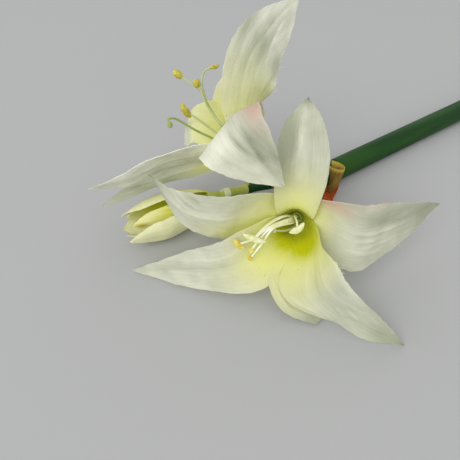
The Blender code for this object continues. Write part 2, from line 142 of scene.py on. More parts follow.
# How much painted shade darkens the creases' valleys and how much a painted highlight takes off their crests;
# from and to which share of its own reach a green fades out, and how much less far it reaches at a petal's
# edges
VALLEY_PAINTED_SHADE = 0.4
CREST_PAINTED_HIGHLIGHT = 0.3
PALE_FROM = 0.8
DEEP_FADE = (0.6, 1.3)
PALE_DROP = 6
DEEP_DROP = 4

# Loose threads at a frayed edge: radius and the share of it left at the tip, least and greatest length,
# points in one, how unevenly they stand along the petal, over how many columns of the cloth they take
# their direction, their curl along the edge and upwards, and how deep in the cloth they start
THREAD_RADIUS = 0.11
THREAD_TIP = 0.4
THREAD_LENGTHS = (1.5, 5.0)
THREAD_POINTS = 9
THREAD_JITTER = 0.02
THREAD_AIM = 6
CURL_ALONG = (0.2, 1.2)
CURL_UP = (-0.5, 0.4)
CURL = 0.35
THREAD_ROOT = 0.4
THREAD_SPREAD = 0.8

# Each petal is cut from its own stretch of the cloth, and the UV map counts in decimetres of it
CUT_APART = 300.0
CLOTH_UNIT = 100.0
# Bands that a Wave texture has in one unit at a scale of 1
WAVE_BANDS = 3.18

FLOWERS = {
    "a": {"neck": (-57, -36, 27), "face": (-0.66, -0.60, 0.45), "stalk_at": 205, "joint": 0.48},
    "b": {"neck": (-62, -8, 44), "face": (-0.36, 0.71, 0.60), "stalk_at": 85, "joint": 0.52},
    "c": {"neck": (-84, 19, 14.5), "face": (-1.00, 0.10, 0.03), "stalk_at": 345, "joint": 0.72},
}

# Each petal as in the frame: its turn round the mouth (degrees), half width, where it is widest (share of
# its length), taper, cup and roll (degrees), wave of the edges, ridge (height, and its place across at
# the foot and at the tip) and its middle line beyond the trumpet. A petal of the bud has its reach,
# plumpness and gape instead.
# What the silk adds: how far up it the deep and the pale green reach (mm); the least strength of the painted
# shade, which darkens a whole petal that lies in shade (painted_shade_base), and of the pale green
# (yellowed); how much less light passes (dense); waists (place, reach, side and how much narrower); frayed
# (from, to, side, depth and number of loose threads); and tucked (from where the tip is folded back).
BUD = dict(flower="c", taper=3.0, dense=0.85)
PETALS = {
    "petal_a1": dict(flower="a", layer="inner", turn=357, half_width=14.5, widest=0.44, taper=2.2, cup=34,
                     wave=0.6, ridge=(4.0, -0.3, -0.1), deep=20, pale=52, painted_shade_base=0.5,
                     midline=((-61, -38.5, 67), (-46, -22, 75), (-28, -4, 80))),
    "petal_a2": dict(flower="a", layer="outer", turn=60, half_width=20.5, widest=0.45, taper=1.5, cup=6,
                     wave=0.6, roll=25, deep=14, pale=42, painted_shade_base=0.35, frayed=(0.72, 1.0, 1, 0.8, 9),
                     midline=((-54, -78, 42.5), (-30, -81.5, 38), (14, -80, 33))),
    "petal_a3": dict(flower="a", layer="inner", turn=120, half_width=17, widest=0.45, cup=8, wave=1.2,
                     deep=30, pale=66, painted_shade_base=0.55, frayed=(0.4, 0.5, -1, 0.4, 5),
                     waists=((0.27, 0.1, -1, 0.42), (0.66, 0.16, 1, 0.36)),
                     midline=((-83, -85, 25), (-71, -106.5, 13), (-55, -123, 1))),
    "petal_a4": dict(flower="a", layer="outer", turn=180, half_width=14.5, widest=0.34, taper=1.5,
                     wave=0.6, deep=24, pale=72, painted_shade_base=0.55, tucked=0.88,
                     midline=((-87, -71, 11.5), (-82.5, -83, 4.7), (-78, -96, 1))),
    "petal_a5": dict(flower="a", layer="inner", turn=240, half_width=16, widest=0.4, taper=1.6, cup=8,
                     wave=1.0, deep=24, pale=60, painted_shade_base=0.3,
                     midline=((-108, -45, 25), (-127, -24, 13), (-149, 1, 2.3))),
    "petal_a6": dict(flower="a", layer="outer", turn=300, half_width=17, widest=0.44, wave=1.0,
                     deep=14, pale=62, painted_shade_base=0.3,
                     midline=((-107, -32, 48), (-119, -14, 46.5), (-120, 25.5, 45.8))),
    "petal_b1": dict(flower="b", layer="inner", turn=0, half_width=19, widest=0.58, cup=8, wave=0.8,
                     roll=24, deep=20, pale=80, painted_shade_base=0.1, dense=0.5, frayed=(0.42, 0.75, -1, 0.4, 8),
                     midline=((-64, 4, 95), (-54.5, 9.5, 108), (-26, 15, 128))),
    "petal_b2": dict(flower="b", layer="outer", turn=48, half_width=20, ridge=(4.5, -0.5, -0.1),
                     deep=8, pale=36, midline=((-86, -15, 79), (-96, -22, 92), (-99, -30, 92),
                                               (-92, -37, 82), (-78, -45, 65))),
    "petal_b3": dict(flower="b", layer="inner", turn=116, half_width=15, widest=0.4, wave=0.6,
                     ridge=(2.5, 0.7, 0.5), roll=-12, deep=10, pale=46, dense=0.8,
                     midline=((-108, 22, 50), (-129, 32, 42), (-153, 38, 42))),
    "petal_b4": dict(flower="b", layer="outer", turn=176, half_width=12, cup=10, wave=0.6,
                     deep=10, pale=50, painted_shade_base=0.15, waists=((0.56, 0.2, -1, 0.5),),
                     midline=((-96, 24, 39), (-118, 31, 34.5), (-149, 31, 32))),
    "petal_b5": dict(flower="b", layer="inner", turn=240, half_width=11.5, widest=0.45, cup=10, wave=0.8,
                     deep=30, pale=84,
                     waists=((0.42, 0.14, 1, -0.7), (0.72, 0.2, 1, 0.5), (0.78, 0.16, -1, -0.6)),
                     midline=((-80, 38, 60), (-78, 52, 46), (-76, 62, 28))),
    "petal_b6": dict(flower="b", layer="outer", turn=283, half_width=17, cup=10, wave=0.8,
                     deep=30, pale=100, midline=((-60, 36, 77), (-40, 50, 85), (-13, 57, 89))),
    "petal_c1": dict(BUD, layer="outer", turn=312, half_width=13, plump=0.83, widest=0.45, reach=57,
                     gape=-1.5, deep=8, pale=50, yellowed=0.65),
    "petal_c2": dict(BUD, layer="inner", turn=68, half_width=8, plump=1.0, reach=52, gape=-2,
                     deep=36, pale=80, yellowed=0.85),
    "petal_c3": dict(BUD, layer="outer", turn=112, half_width=14, plump=1.08, taper=3.2, reach=58,
                     gape=2.5, deep=8, pale=50, yellowed=0.55),
    "petal_c4": dict(BUD, layer="inner", turn=165, half_width=8.5, plump=1.0, reach=56, gape=0.5,
                     deep=20, pale=75, yellowed=0.6),
    "petal_c5": dict(BUD, layer="outer", turn=214, half_width=11.5, plump=1.0, reach=57, gape=0,
                     deep=8, pale=50, yellowed=0.6),
    "petal_c6": dict(BUD, layer="inner", turn=272, half_width=8.5, plump=0.95, reach=53, gape=-1,
                     deep=46, pale=80, yellowed=0.3),
}

# Creases heat-set into the silk: u,v at each end (u along the petal, v across it), height towards
# the petal's inner side and width, in mm
CREASES = {
    "petal_a1": ((0.52, -0.12, 0.92, -0.2, 0.5, 1.6), (0.42, 0.3, 0.55, 0.28, -0.35, 0.8),
                 (0.5, -0.45, 0.85, -0.4, -0.4, 2.0)),
    "petal_a2": ((0.38, -0.12, 0.64, -0.08, 0.6, 0.9), (0.39, 0.12, 0.57, 0.17, 0.6, 0.8),
                 (0.42, 0.3, 0.66, 0.42, 0.45, 0.9), (0.36, 0.45, 0.56, 0.62, 0.4, 0.8),
                 (0.5, -0.3, 0.9, -0.3, -0.5, 2.2)),
    "petal_a3": ((0.3, -0.3, 0.7, -0.5, 0.4, 1.5), (0.48, 0.75, 0.57, 0.55, 0.6, 0.8),
                 (0.35, 0.1, 0.9, 0.0, -0.2, 2.5), (0.24, 0.2, 0.56, 0.42, 0.4, 1.2),
                 (0.6, 0.0, 0.67, 0.12, 0.5, 0.7), (0.64, -0.2, 0.72, -0.05, 0.4, 0.7),
                 (0.24, -0.1, 0.5, 0.05, -0.4, 1.0)),
    "petal_a4": ((0.48, 0.75, 0.78, 0.5, 0.6, 0.9), (0.45, 0.4, 0.7, 0.2, -0.6, 1.0),
                 (0.74, 0.0, 0.9, -0.7, 0.7, 0.8)),
    "petal_a5": ((0.25, 0.0, 0.95, 0.0, -0.5, 2.5), (0.3, 0.4, 0.7, 0.5, 0.35, 1.5),
                 (0.62, -0.3, 0.8, -0.1, 0.35, 0.9)),
    "petal_a6": ((0.3, 0.0, 0.95, 0.0, 0.5, 3.0), (0.68, 0.95, 0.56, 0.35, 0.7, 0.9),
                 (0.6, 0.8, 0.55, 0.6, -0.5, 0.8), (0.72, 0.7, 0.62, 0.2, 0.5, 0.8)),
    "petal_b1": ((0.45, 0.35, 0.98, 0.4, 0.45, 1.8), (0.6, 0.0, 0.76, 0.3, -0.5, 2.2),
                 (0.68, -0.3, 0.86, -0.1, 0.5, 1.6), (0.5, 0.7, 0.8, 0.8, 0.3, 1.6),
                 (0.44, -0.5, 0.62, -0.75, -0.5, 2.0), (0.26, 0.1, 0.46, 0.1, -0.3, 1.0),
                 (0.26, -0.25, 0.44, -0.4, -0.3, 0.9), (0.26, 0.45, 0.42, 0.6, -0.3, 1.0)),
    "petal_b2": ((0.64, -0.42, 0.82, -0.27, -1.0, 1.0), (0.76, -0.3, 0.98, -0.25, -0.7, 1.2),
                 (0.62, -0.04, 0.75, -0.09, -0.6, 0.8), (0.6, 0.5, 0.85, 0.35, 0.4, 1.6),
                 (0.7, -0.7, 0.9, -0.6, 0.4, 1.2)),
    "petal_b3": ((0.3, -0.3, 0.9, -0.2, -0.4, 2.0),),
    "petal_b4": ((0.2, 0.0, 1.0, 0.0, 0.6, 3.0),),
    "petal_b5": ((0.2, 0.0, 0.9, 0.0, -0.5, 1.6), (0.2, 0.45, 0.7, 0.5, 0.4, 1.2)),
    "petal_b6": ((0.2, 0.0, 1.0, 0.0, -0.5, 2.5),),
    "petal_c1": ((0.2, 0.2, 0.95, 0.1, 0.25, 0.9), (0.2, -0.2, 0.95, -0.15, 0.25, 0.9),
                 (0.2, 0.55, 0.9, 0.5, 0.25, 0.9)),
    "petal_c3": ((0.3, 0.0, 0.95, 0.0, 0.3, 1.2), (0.4, 0.5, 0.9, 0.4, -0.25, 1.0)),
}

# Seams of the front bloom's throat, which is one piece of silk low down: the petals on both sides, how
# far up the seam holds and where it has come apart, in mm; and from where across a petal it pulls
SEAMS = (("petal_a1", "petal_a3", 8, 34), ("petal_a3", "petal_a5", 32, 68), ("petal_a5", "petal_a1", 8, 34))
SEAM_PULLS = (0.1, 1.0)

# How far the outer petals are brought up behind the inner ones, how far up them this ends, in mm, and
# the side that stays back (0 for neither). It starts low at the foot and is greatest at SNUG_RUN's end.
# Of this, STAYS_BACK is taken off across BACK_REACH on the side that stays back.
SNUG = (("petal_a2", 5.4, 46, -1), ("petal_a4", 6.0, 66, 0), ("petal_a6", 5.4, 44, 1))
SNUG_RUN = (0.0, 4.0, 20.0)
SNUG_START = (0.8, 2.0)
STAYS_BACK = 0.85
BACK_REACH = (-0.3, 0.9)

# Painted shade where a petal lies in shade, in a crevice between petals or faces away from the light (on b1
# also its mottling), and painted highlight where the strength is below 0; then the real green, pink and olive
# tints: middle u,v, reach along and across (mm), strength
TINTS = {
    "petal_a1": {"shade": ((0.62, -0.75, 26, 6, 0.6), (0.62, -0.1, 24, 3, -0.35), (0.35, 0.0, 8, 12, 0.2),
                           (1.0, -0.3, 9, 4, 0.5))},
    "petal_a2": {"shade": ((0.95, 0.0, 20, 12, 0.8), (0.5, -0.55, 30, 6, 0.5)),
                 "blush": ((0.24, -0.9, 11, 5, 0.6), (0.4, -1.0, 30, 1.2, 0.3))},
    "petal_a3": {"shade": ((0.5, -0.95, 30, 2.5, -0.35), (0.95, 0.1, 14, 7, 0.5)),
                 "throat_pale": ((0.45, 0.75, 18, 7, 0.3),), "throat_deep": ((0.25, 0.35, 7, 7, 0.6),)},
    "petal_a4": {"shade": ((0.9, 0.0, 16, 14, 0.5),)},
    "petal_a5": {"throat_deep": ((0.2, -0.8, 7, 7, 0.8),), "throat_pale": ((0.34, -0.5, 20, 14, 0.55),)},
    "petal_a6": {"throat_pale": ((0.36, -0.7, 22, 9, 0.7),),
                 "shade": ((0.97, 0.0, 14, 9, 0.9), (0.6, 0.6, 8, 4, 0.4))},
    "petal_b1": {"shade": ((0.7, 0.12, 6, 7, 0.8), (0.67, -0.8, 10, 5, 0.8), (0.44, -0.58, 9, 7, 0.7),
                           (0.72, 0.92, 10, 3, 0.8), (0.88, -0.1, 8, 5, 0.5), (0.55, 0.2, 16, 14, 0.8),
                           (0.8, 0.3, 5, 4, 0.6), (0.35, 0.0, 12, 14, 0.4))},
    "petal_b2": {"shade": ((0.8, -0.68, 24, 6, 1.0), (0.6, -0.85, 9, 5, 0.8), (0.68, -0.06, 6, 1.5, 0.5)),
                 "blush": ((0.56, -0.8, 12, 5, 0.7),)},
    "petal_b3": {"shade": ((0.7, 0.85, 40, 4, 0.9), (0.95, -0.4, 10, 6, 0.4))},
    "petal_b4": {"shade": ((0.7, 0.0, 50, 20, 0.9),), "throat_pale": ((0.35, 0.3, 14, 8, 0.7),)},
    "petal_c1": {"olive": ((0.5, 0.0, 24, 12, 0.2),)},
    "petal_c2": {"olive": ((0.9, 0.2, 5, 1.5, 0.8), (0.6, 0.0, 30, 12, 0.35))},
    "petal_c4": {"olive": ((0.95, 0.0, 4, 1.2, 0.6),)},
}

# The tan bract is rolled into a cone: its radii, how far it wraps (degrees), how much lower its mouth is
# in front, its ribs (depth and number), its flare and from where the rim is flared and lighter
TAN_BRACT = {"midline": ((-2.3, -11.2, 2.9), (0.2, -12.0, 12.9), (3.2, -7.2, 23.9)), "foot": 1.3,
             "mouth": 4.6, "wrap": 160, "slant": 5.0, "ribs": (0.02, 40), "flare": 1.3,
             "flare_from": 0.55, "rim": (0.8, 0.97)}
RED_BRACT = {"midline": ((12, -3, 1.0), (1, -10, 1.2), (-9, -17, 2.2), (-15, -27, 2.0)),
             "half_width": 4.2, "curl": 70}
BRACT_THICKNESS = 0.35

# Each stamen: its place round the throat (degrees), the way of its filament, half the filament's width
# and thickness, and its finish; then the anther's direction, its length and half thickness, how much it
# is bowed, and its finish
STAMENS = {
    "a": (
        (330, ((-73.7, -42, 40), (-86.7, -44.4, 42.5), (-97.2, -47.4, 41)), (1.25, 0.7), "white",
         (9.3, -7.8, -4.7), (13, 1.7, 0.05), "cream"),
        (275, ((-70.5, -44.2, 38.2), (-86.2, -45.3, 41.6), (-97.7, -45.7, 39.3), (-104.8, -44, 38.5)),
         (1.25, 0.7), "white", (4, -4.3, -6.2), (8.5, 1.6, 0.05), "ochre"),
        (225, ((-70.5, -45.2, 37.5), (-85.6, -46, 41), (-94, -47, 38), (-99.3, -47.7, 33.4)),
         (1.0, 0.6), "white", (-1, -0.8, -1.5), (4, 1.3, 0.1), "ochre"),
        (30, ((-66, -43.4, 37.5), (-70.1, -49.5, 39.8), (-72.9, -53.3, 39.3)), (0.7, 0.6), "white",
         (8.2, -1.9, 4.5), (9.6, 1.7, 0.16), "cream"),
        (90, ((-68, -46, 32), (-75.5, -47, 34.5), (-82.5, -46, 37.5)), (1.1, 0.7), "pale",
         (-1, 0.2, 0.5), (3, 1.2, 0.0), "pale"),
        (175, ((-70.5, -46, 36.5), (-84.6, -46.6, 40.4), (-93.4, -48.4, 35), (-100.4, -48.7, 29.3)),
         (0.9, 0.6), "white", (-1, -0.3, -0.6), (3, 1.2, 0.1), "ochre"),
    ),
    "b": (
        (200, ((-72, 12, 60), (-76.1, 27.1, 74.7), (-77.2, 31.9, 81.7), (-85, 45, 90)), (0.75, 0.65),
         "pale", (-0.6, 0.5, 0.6), (6.5, 2.2, 0.0), "olive"),
        (330, ((-70, 12, 61), (-77.5, 25.9, 75.8), (-78.8, 30.2, 83.6), (-80, 33, 88)), (0.75, 0.65),
         "pale", (-0.4, -0.2, 1), (6, 2.1, 0.0), "olive"),
        (60, ((-73, 9, 58), (-84, 20, 70), (-92, 26, 78)), (0.8, 0.7),
         "pale", (-0.5, 0.2, 1), (10.5, 2.0, 0.04), "olive"),
        (265, ((-70, 14, 60), (-74.9, 27.9, 73.3), (-74.3, 35, 79.5), (-73, 39, 85), (-70, 40, 90),
               (-65, 37.5, 92)), (0.75, 0.65),
         "pale", (1, 0, 0), (6.5, 1.2, 0.0), "olive"),
        (130, ((-74, 10, 56), (-90, 20, 68), (-101, 25, 77), (-104, 25, 77), (-104, 23, 75)),
         (0.85, 0.75), "style", (0, -0.3, -1), (4, 1.4, 0.0), "style"),
    ),
}

# The stamens' foot: a disc in the throat, as heights and radii, and where on it the filaments start.
# THINNING is how much thinner a filament gets towards its tip.
DISC = ((0.0, 2.0), (0.01, 2.3), (0.3, 2.5), (1.2, 2.5), (2.1, 2.4), (2.39, 2.1), (2.4, 1.0))
ROOT_HEIGHT = 1.2
ROOT_RADIUS = 1.4
THINNING = 0.3
FILAMENT_POINTS = 60
FILAMENT_SIDES = 16

# The anthers' grain (number of waves, depth, steepness and its share of waves across), the depth and
# half width of their groove, how much their ends taper, and where a bowed anther crosses its straight line
GRAIN = (18, 0.022, 1.5, 4)
GROOVE = (0.2, 0.22)
BLUNT = 0.15
BOW_CROSSES = 0.4

# Plastics: the material's name, its main and second tones (a setting or a colour), roughness, how the
# pattern of the tones is drawn out, its features a metre, the depth of the fine grain (mm) and the
# specular level
EVEN = (1.0, 1.0, 1.0)
LENGTHWISE = (1.0, 9.0, 9.0)
COATING = ("green", "dark_green", 0.48, LENGTHWISE, 14.0, 0.1, 0.2)
PLASTICS = {
    # coated over wire: dark and even with a dull shine, and faint streaks 70 mm long and 8 mm wide
    "coated": ("coated_polyethylene_green", *COATING),
    "coated_worn": ("coated_polyethylene_green_worn", *COATING),
    # moulded: smooth and waxy, its two tones clouded over 7 to 8 mm as the colour ran in the mould
    "throat": ("moulded_polyethylene_pale", "throat_green", "#a3ab3f", 0.5, EVEN, 120.0, 0.1, 0.5),
    "joint": ("moulded_polyethylene_cream", "#eceec8", "#dfe3b0", 0.5, EVEN, 120.0, 0.1, 0.5),
    "white": ("moulded_polyethylene_white", "filament", "#e9e8b4", 0.4, EVEN, 150.0, 0.1, 0.5),
    "pale": ("moulded_polyethylene_pale_green", "filament_green", "#c3cb93", 0.45, EVEN, 150.0, 0.1, 0.5),
    # the heart's dark olive is partly its real green and partly painted shade of the deep throat
    "heart": ("moulded_polyethylene_olive", "#5d7410", "#3c5a12", 0.5, EVEN, 150.0, 0.1, 0.5),
    "style": ("moulded_polyethylene_green", "style_green", "#a6b268", 0.45, EVEN, 150.0, 0.1, 0.5),
    # flocked with short dyed fibre like pollen: matt and grainy, in clumps of 1.4 to 3.3 mm
    "cream": ("flocked_polyethylene_cream", "#f3f2cc", "#dddd93", 0.8, EVEN, 400.0, 0.3, 0.2),
    "ochre": ("flocked_polyethylene_ochre", "pollen", "#ece38c", 0.85, EVEN, 300.0, 0.4, 0.2),
    "olive": ("flocked_polyethylene_olive", "#b3a83a", "#dcd06a", 0.85, EVEN, 700.0, 0.4, 0.2),
}

# Rows and columns of faces in a petal of an open bloom and of the bud, and in the bracts
OPEN_FACES = (130, 52)
BUD_FACES = (80, 32)
TAN_FACES = (40, 64)
RED_FACES = (48, 30)

# The camera: where it stands (m), which way it looks, what is up in its picture, and its lens in pixels
# of the picture
EYE = (-0.3438, -0.1427, 0.2086)
LOOK = (0.4005, 0.5827, -0.7071)
LOOK_UP = (0.4005, 0.5827, 0.7071)
LENS_PIXELS = 450
PICTURE_PIXELS = 460
SENSOR = 36

# The floor's width (m), the colour of the even room light, and the key light: what it shines on, its
# distance and width (m), and how much it comes from the left
FLOOR_WIDTH = 8
ROOM_LIGHT = "#fdfdff"
LIT_PLACE = (-0.22, 0.0, 0.03)
KEY_DISTANCE = 5.0
KEY_WIDTH = 4.0
KEY_LEFT = 0.5


def linear(code):
    """An sRGB hex colour as linear red, green and blue."""
    parts = [int(code[i:i + 2], 16) / 255 for i in (1, 3, 5)]
    return [c / 12.92 if c <= 0.04045 else ((c + 0.055) / 1.055) ** 2.4 for c in parts]


def colour_prop(name, description, code):
    return bpy.props.FloatVectorProperty(name=name, description=description, subtype="COLOR",
                                         size=3, min=0, max=1, default=linear(code))


def length_prop(name, description, millimetres):
    return bpy.props.FloatProperty(name=name, description=description, subtype="DISTANCE",
                                   unit="LENGTH", min=0, default=millimetres * MM)


class SilkSettings(bpy.types.PropertyGroup):
    thickness: length_prop("Thickness", "Thickness of the silk with its stiffening", 0.35)
    vein_height: length_prop("Vein height", "Height of the fine lengthwise ribs", 0.05)
    unevenness: length_prop("Unevenness", "How far the cloth wanders from its smooth shape", 0.3)
    thread_spacing: length_prop("Thread spacing", "Spacing of the woven threads as drawn", 0.7)
    cream: colour_prop("Cream", "The silk's own colour", "#fefeee")
    # Besides the random mottling, this grey-green is the painted shade, mixed in where a petal lies in shade
    shade: colour_prop("Shade", "Grey-green of the dye where it pooled", "#c6cab0")
    pale_green: colour_prop("Pale green", "Outer part of the throat", "#fafaa6")
    deep_green: colour_prop("Deep green", "Heart of the throat", "#e4e600")
    blush: colour_prop("Blush", "Pink tint on some edges", "#f2c6b8")
    olive: colour_prop("Olive", "Olive tint in the bud", "#a89c3e")
    spots: colour_prop("Spots", "Small spots of dye in the throat", "#a9b038")
    glow: colour_prop("Glow", "Tint of the light that passes through", "#dfe8b0")
    see_through: bpy.props.FloatProperty(name="See-through", description="Share of the light that "
                                         "passes through the silk", subtype="FACTOR",
                                         min=0, max=1, default=0.34)


class StemSettings(bpy.types.PropertyGroup):
    green: colour_prop("Green", "Coated scape and flower stalks", "#184a10")
    dark_green: colour_prop("Dark green", "Streaks in the coating", "#10350f")
    worn_green: colour_prop("Worn green", "Yellower end of the scape at the bracts", "#264c10")
    throat_green: colour_prop("Throat green", "Moulded throats of the flowers", "#bcc463")
    tan: colour_prop("Tan", "Dried bract", "#a8883e")
    tan_rib: colour_prop("Tan rib", "Ribs of the dried bract", "#7a5524")
    tan_rim: colour_prop("Tan rim", "Lighter rim of the dried bract", "#d2bc52")
    red: colour_prop("Red", "Small bract", "#e07028")
    dark_red: colour_prop("Dark red", "Speckles of the small bract", "#96360e")
    filament: colour_prop("Filament", "White filaments of the front bloom", "#ffffee")
    filament_green: colour_prop("Pale filament", "Filaments of the back bloom", "#bcc485")
    style_green: colour_prop("Style", "Style of the back bloom", "#96a455")
    pollen: colour_prop("Pollen", "Dusting of the front bloom's yellow anthers", "#d8c032")


class StageSettings(bpy.types.PropertyGroup):
    floor: colour_prop("Floor", "Plain pale floor", "#b2b3b2")
    key_power: bpy.props.FloatProperty(name="Key light", description="Power of the large soft light",
                                       subtype="POWER", unit="POWER", min=0, default=130.0)
    sky: bpy.props.FloatProperty(name="Room light", description="Strength of the even light all round",
                                 min=0, default=0.75)


def vec(point):
    return np.array(point, dtype=float)


def unit(v):
    return v / np.linalg.norm(v)


def placed(points):
    """Layout millimetres to the frame's metres."""
    return (np.asarray(points, dtype=float) - CENTRE) * MM


def smooth_step(low, high, value):
    t = np.clip((value - low) / (high - low), 0.0, 1.0)
    return t * t * (3 - 2 * t)


def points_at(where, known, points):
    """Points between the given ones of a line, at places on it."""
    return np.stack([np.interp(where, known, points[:, k]) for k in range(3)], axis=1)


def lengths_along(points):
    return np.concatenate(([0.0], np.cumsum(np.linalg.norm(np.diff(points, axis=0), axis=1))))


def spline(points, count):
    """Even points along a smooth curve through the given ones, and its length."""
    pts = [vec(p) for p in points]
    pts = [2 * pts[0] - pts[1]] + pts + [2 * pts[-1] - pts[-2]]
    dense = []
    for level in zip(pts, pts[1:], pts[2:], pts[3:]):
        roots = [math.sqrt(np.linalg.norm(b - a)) for a, b in zip(level, level[1:])]
        knots = np.concatenate(([0.0], np.cumsum(roots)))
        t = np.linspace(knots[1], knots[2], SPLINE_STEPS, endpoint=False)[:, None]
        for lows, highs in (((0, 1, 2), (1, 2, 3)), ((0, 1), (2, 3)), ((1,), (2,))):
            level = [a * (high - t) / (high - low) + b * (t - low) / (high - low)
                     for a, b, low, high in zip(level, level[1:], knots[list(lows)], knots[list(highs)])]
        dense.append(level[0])
    dense = np.concatenate(dense + [pts[-2][None]])
    along = lengths_along(dense)
    return points_at(np.linspace(0, along[-1], count), along, dense), along[-1]


def tangents_of(points):
    tangents = np.gradient(points, axis=0)
    return tangents / np.linalg.norm(tangents, axis=1)[:, None]


def carried(tangents, look):
    """A look across a line, carried along it without twisting."""
    looks = []
    for tangent in tangents:
        look = unit(look - tangent * (look @ tangent))
        looks.append(look)
    return np.array(looks)


def ripple(x, y, size, seed):
    """Smooth unevenness from -1 to 1 over a surface, with features of about the given size."""
    rng = np.random.default_rng(seed)
    total = np.zeros(np.broadcast(x, y).shape)
    for _ in range(RIPPLE_WAVES):
        angle = rng.uniform(0, 2 * math.pi)
        wave = rng.uniform(*RIPPLE_SPREAD) * 2 * math.pi / size
        total += np.cos(wave * (x * math.cos(angle) + y * math.sin(angle)) + rng.uniform(0, 2 * math.pi))
    return total / (RIPPLE_WAVES / 2)


def mouth_axes(flower):
    face = unit(vec(FLOWERS[flower]["face"]))
    up = unit(vec((0, 0, 1)) - face[2] * face)
    return face, up, np.cross(up, face)


def petal_frames(spec, rows):
    """Middle line of a petal with, at each point, its tangent and the way its inner side looks."""
    face, up, right = mouth_axes(spec["flower"])
    neck = vec(FLOWERS[spec["flower"]]["neck"])
    turn = math.radians(spec["turn"])
    flare = math.radians(LAYER_FLARE[spec["layer"]])
    out = up * math.cos(turn) + right * math.sin(turn)
    run = face * math.cos(flare) + out * math.sin(flare)
    foot = neck + out * LAYER_RADIUS[spec["layer"]] + face * LAYER_START[spec["layer"]]
    if "reach" in spec:
        plump = LAYER_SWELL[spec["layer"]] * spec["plump"]
        route = [foot + face * spec["reach"] * share + out * (swell * plump + spec["gape"] * share ** 3)
                 for share, swell in BUD_SHAPE]
    else:
        route = [foot, foot + run * TRUMPET * 0.5, foot + run * TRUMPET] + list(spec["midline"])
    points, length = spline(route, rows + 1)
    tangents = tangents_of(points)
    return points, tangents, carried(tangents, face * math.sin(flare) - out * math.cos(flare)), length


def opened_at(spec, run):
    """How far a petal has left the trumpet, from 0 to 1, at lengths along it; in the bud, all of it."""
    if "reach" in spec:
        return np.ones_like(run)
    start, end = TRUMPET_ENDS
    return smooth_step(start * TRUMPET, end * TRUMPET, run)


def half_width(spec, u):
    """Half width along a petal: a narrow claw, widest near the middle, drawn out to a point."""
    widest = spec.get("widest", 0.5)
    base = LAYER_RADIUS[spec["layer"]] * CLAW_WIDTH
    full = spec["half_width"]
    rising = base + (full - base) * np.sin(0.5 * math.pi * np.clip(u / widest, 0, 1)) ** 1.5
    t = np.clip((u - widest) / (1 - widest), 0, 1)
    falling = np.maximum(full * (1 - t ** spec.get("taper", 1.8)), TIP_HALF_WIDTH)
    return np.where(u < widest, rising, falling)


def across_bend(spec, centres, run, opened):
    """How sharply a petal is bent across: round the flower's middle line, then by its own cup."""
    if "reach" in spec:
        face = mouth_axes(spec["flower"])[0]
        offset = centres - vec(FLOWERS[spec["flower"]]["neck"])
        return 1 / np.linalg.norm(offset - (offset @ face)[:, None] * face, axis=1)
    flare = math.radians(LAYER_FLARE[spec["layer"]])
    radius = LAYER_RADIUS[spec["layer"]] + np.minimum(run, ROUND_UNTIL * TRUMPET) * math.sin(flare)
    ring = math.cos(flare) / radius
    return ring * (1 - opened) + math.radians(spec.get("cup", 0)) / spec["half_width"] * opened


def spread_across(spec, u, v, x, widths, opened, seed):
    """How far each place of a petal lies from its middle line, with its uneven, frayed and waisted edges."""
    edge = ripple(x, np.sign(v) * EDGES_APART, EDGE_WANDER, seed + SEEDS["edge"]) * EDGE_DEPTH
    if "frayed" in spec:
        first, last, side, ragged, _ = spec["frayed"]
        before, after = FRAY_ENDS
        inside = smooth_step(first - before, first + after, u) * smooth_step(last + after, last - before, u)
        fray = ripple(x, np.sign(v) * FRAYS_APART, FRAY_GRAIN, seed + SEEDS["fray"])
        edge += fray * ragged * inside * (v * side > 0)
    across = v * widths[:, None] + np.sign(v) * np.abs(v) ** 6 * edge * opened[:, None]
    for middle, reach, side, share in spec.get("waists", ()):
        across = across * (1 - share * np.exp(-((u - middle) / reach) ** 2) * np.clip(v * side, 0, 1))
    return across


def bent_across(across, bend):
    """Where the cloth lies when it is bent across: how far to the side, and how far up."""
    flat = np.abs(bend) < 1e-5
    safe = np.where(flat, 1.0, bend)
    run = np.where(flat, across, np.sin(bend * across) / safe)
    return run, np.where(flat, 0.0, (1 - np.cos(bend * across)) / safe)


def laid(points, sides, run, looks, lift):
    """Rows of points across a line: how far to its side and how far up each lies."""
    return points[:, None] + sides[:, None] * run[..., None] + looks[:, None] * lift[..., None]


def ridge(spec, u, v):
    """Height of the fold along a petal, which slopes down to both edges."""
    height, low, high = spec.get("ridge", (0, 0, 0))
    spine = low + (high - low) * u
    return height * (1 - np.where(v > spine, (v - spine) / (1 - spine), (spine - v) / (1 + spine)))


def crease_height(creases, x, y, length, widths):
    """Height of heat-set creases at places on the cloth, in mm."""
    total = np.zeros_like(x)
    for u0, v0, u1, v1, height, width in creases:
        w0, w1 = (np.interp(u, np.linspace(0, 1, len(widths)), widths) for u in (u0, u1))
        start, end = vec((u0 * length, v0 * w0)), vec((u1 * length, v1 * w1))
        way = end - start
        share = ((x - start[0]) * way[0] + (y - start[1]) * way[1]) / (way @ way)
        inside = np.clip(share, 0, 1)
        off = np.hypot(x - start[0] - inside * way[0], y - start[1] - inside * way[1])
        fade = np.sin(math.pi * np.clip(share * 0.9 + 0.05, 0, 1)) ** 0.5
        total += height * fade * np.exp(CREST_RAISE - np.sqrt((off / width) ** 2 + CREST_ROUND))
    return total * CREASE_RELIEF


def tuck_tip(spec, grid, looks, v, widths):
    """Folds the tip of a petal back over its inner side."""
    rows = len(grid) - 1
    turned = round(spec.get("tucked", 1) * rows)
    for row in range(turned + 1, rows + 1):
        under = 2 * turned - row
        over = points_at(v * widths[row] / widths[under], v, grid[under])
        grid[row] = over + looks[under] * (TUCK_GAP + TUCK_RISE * (row - turned))


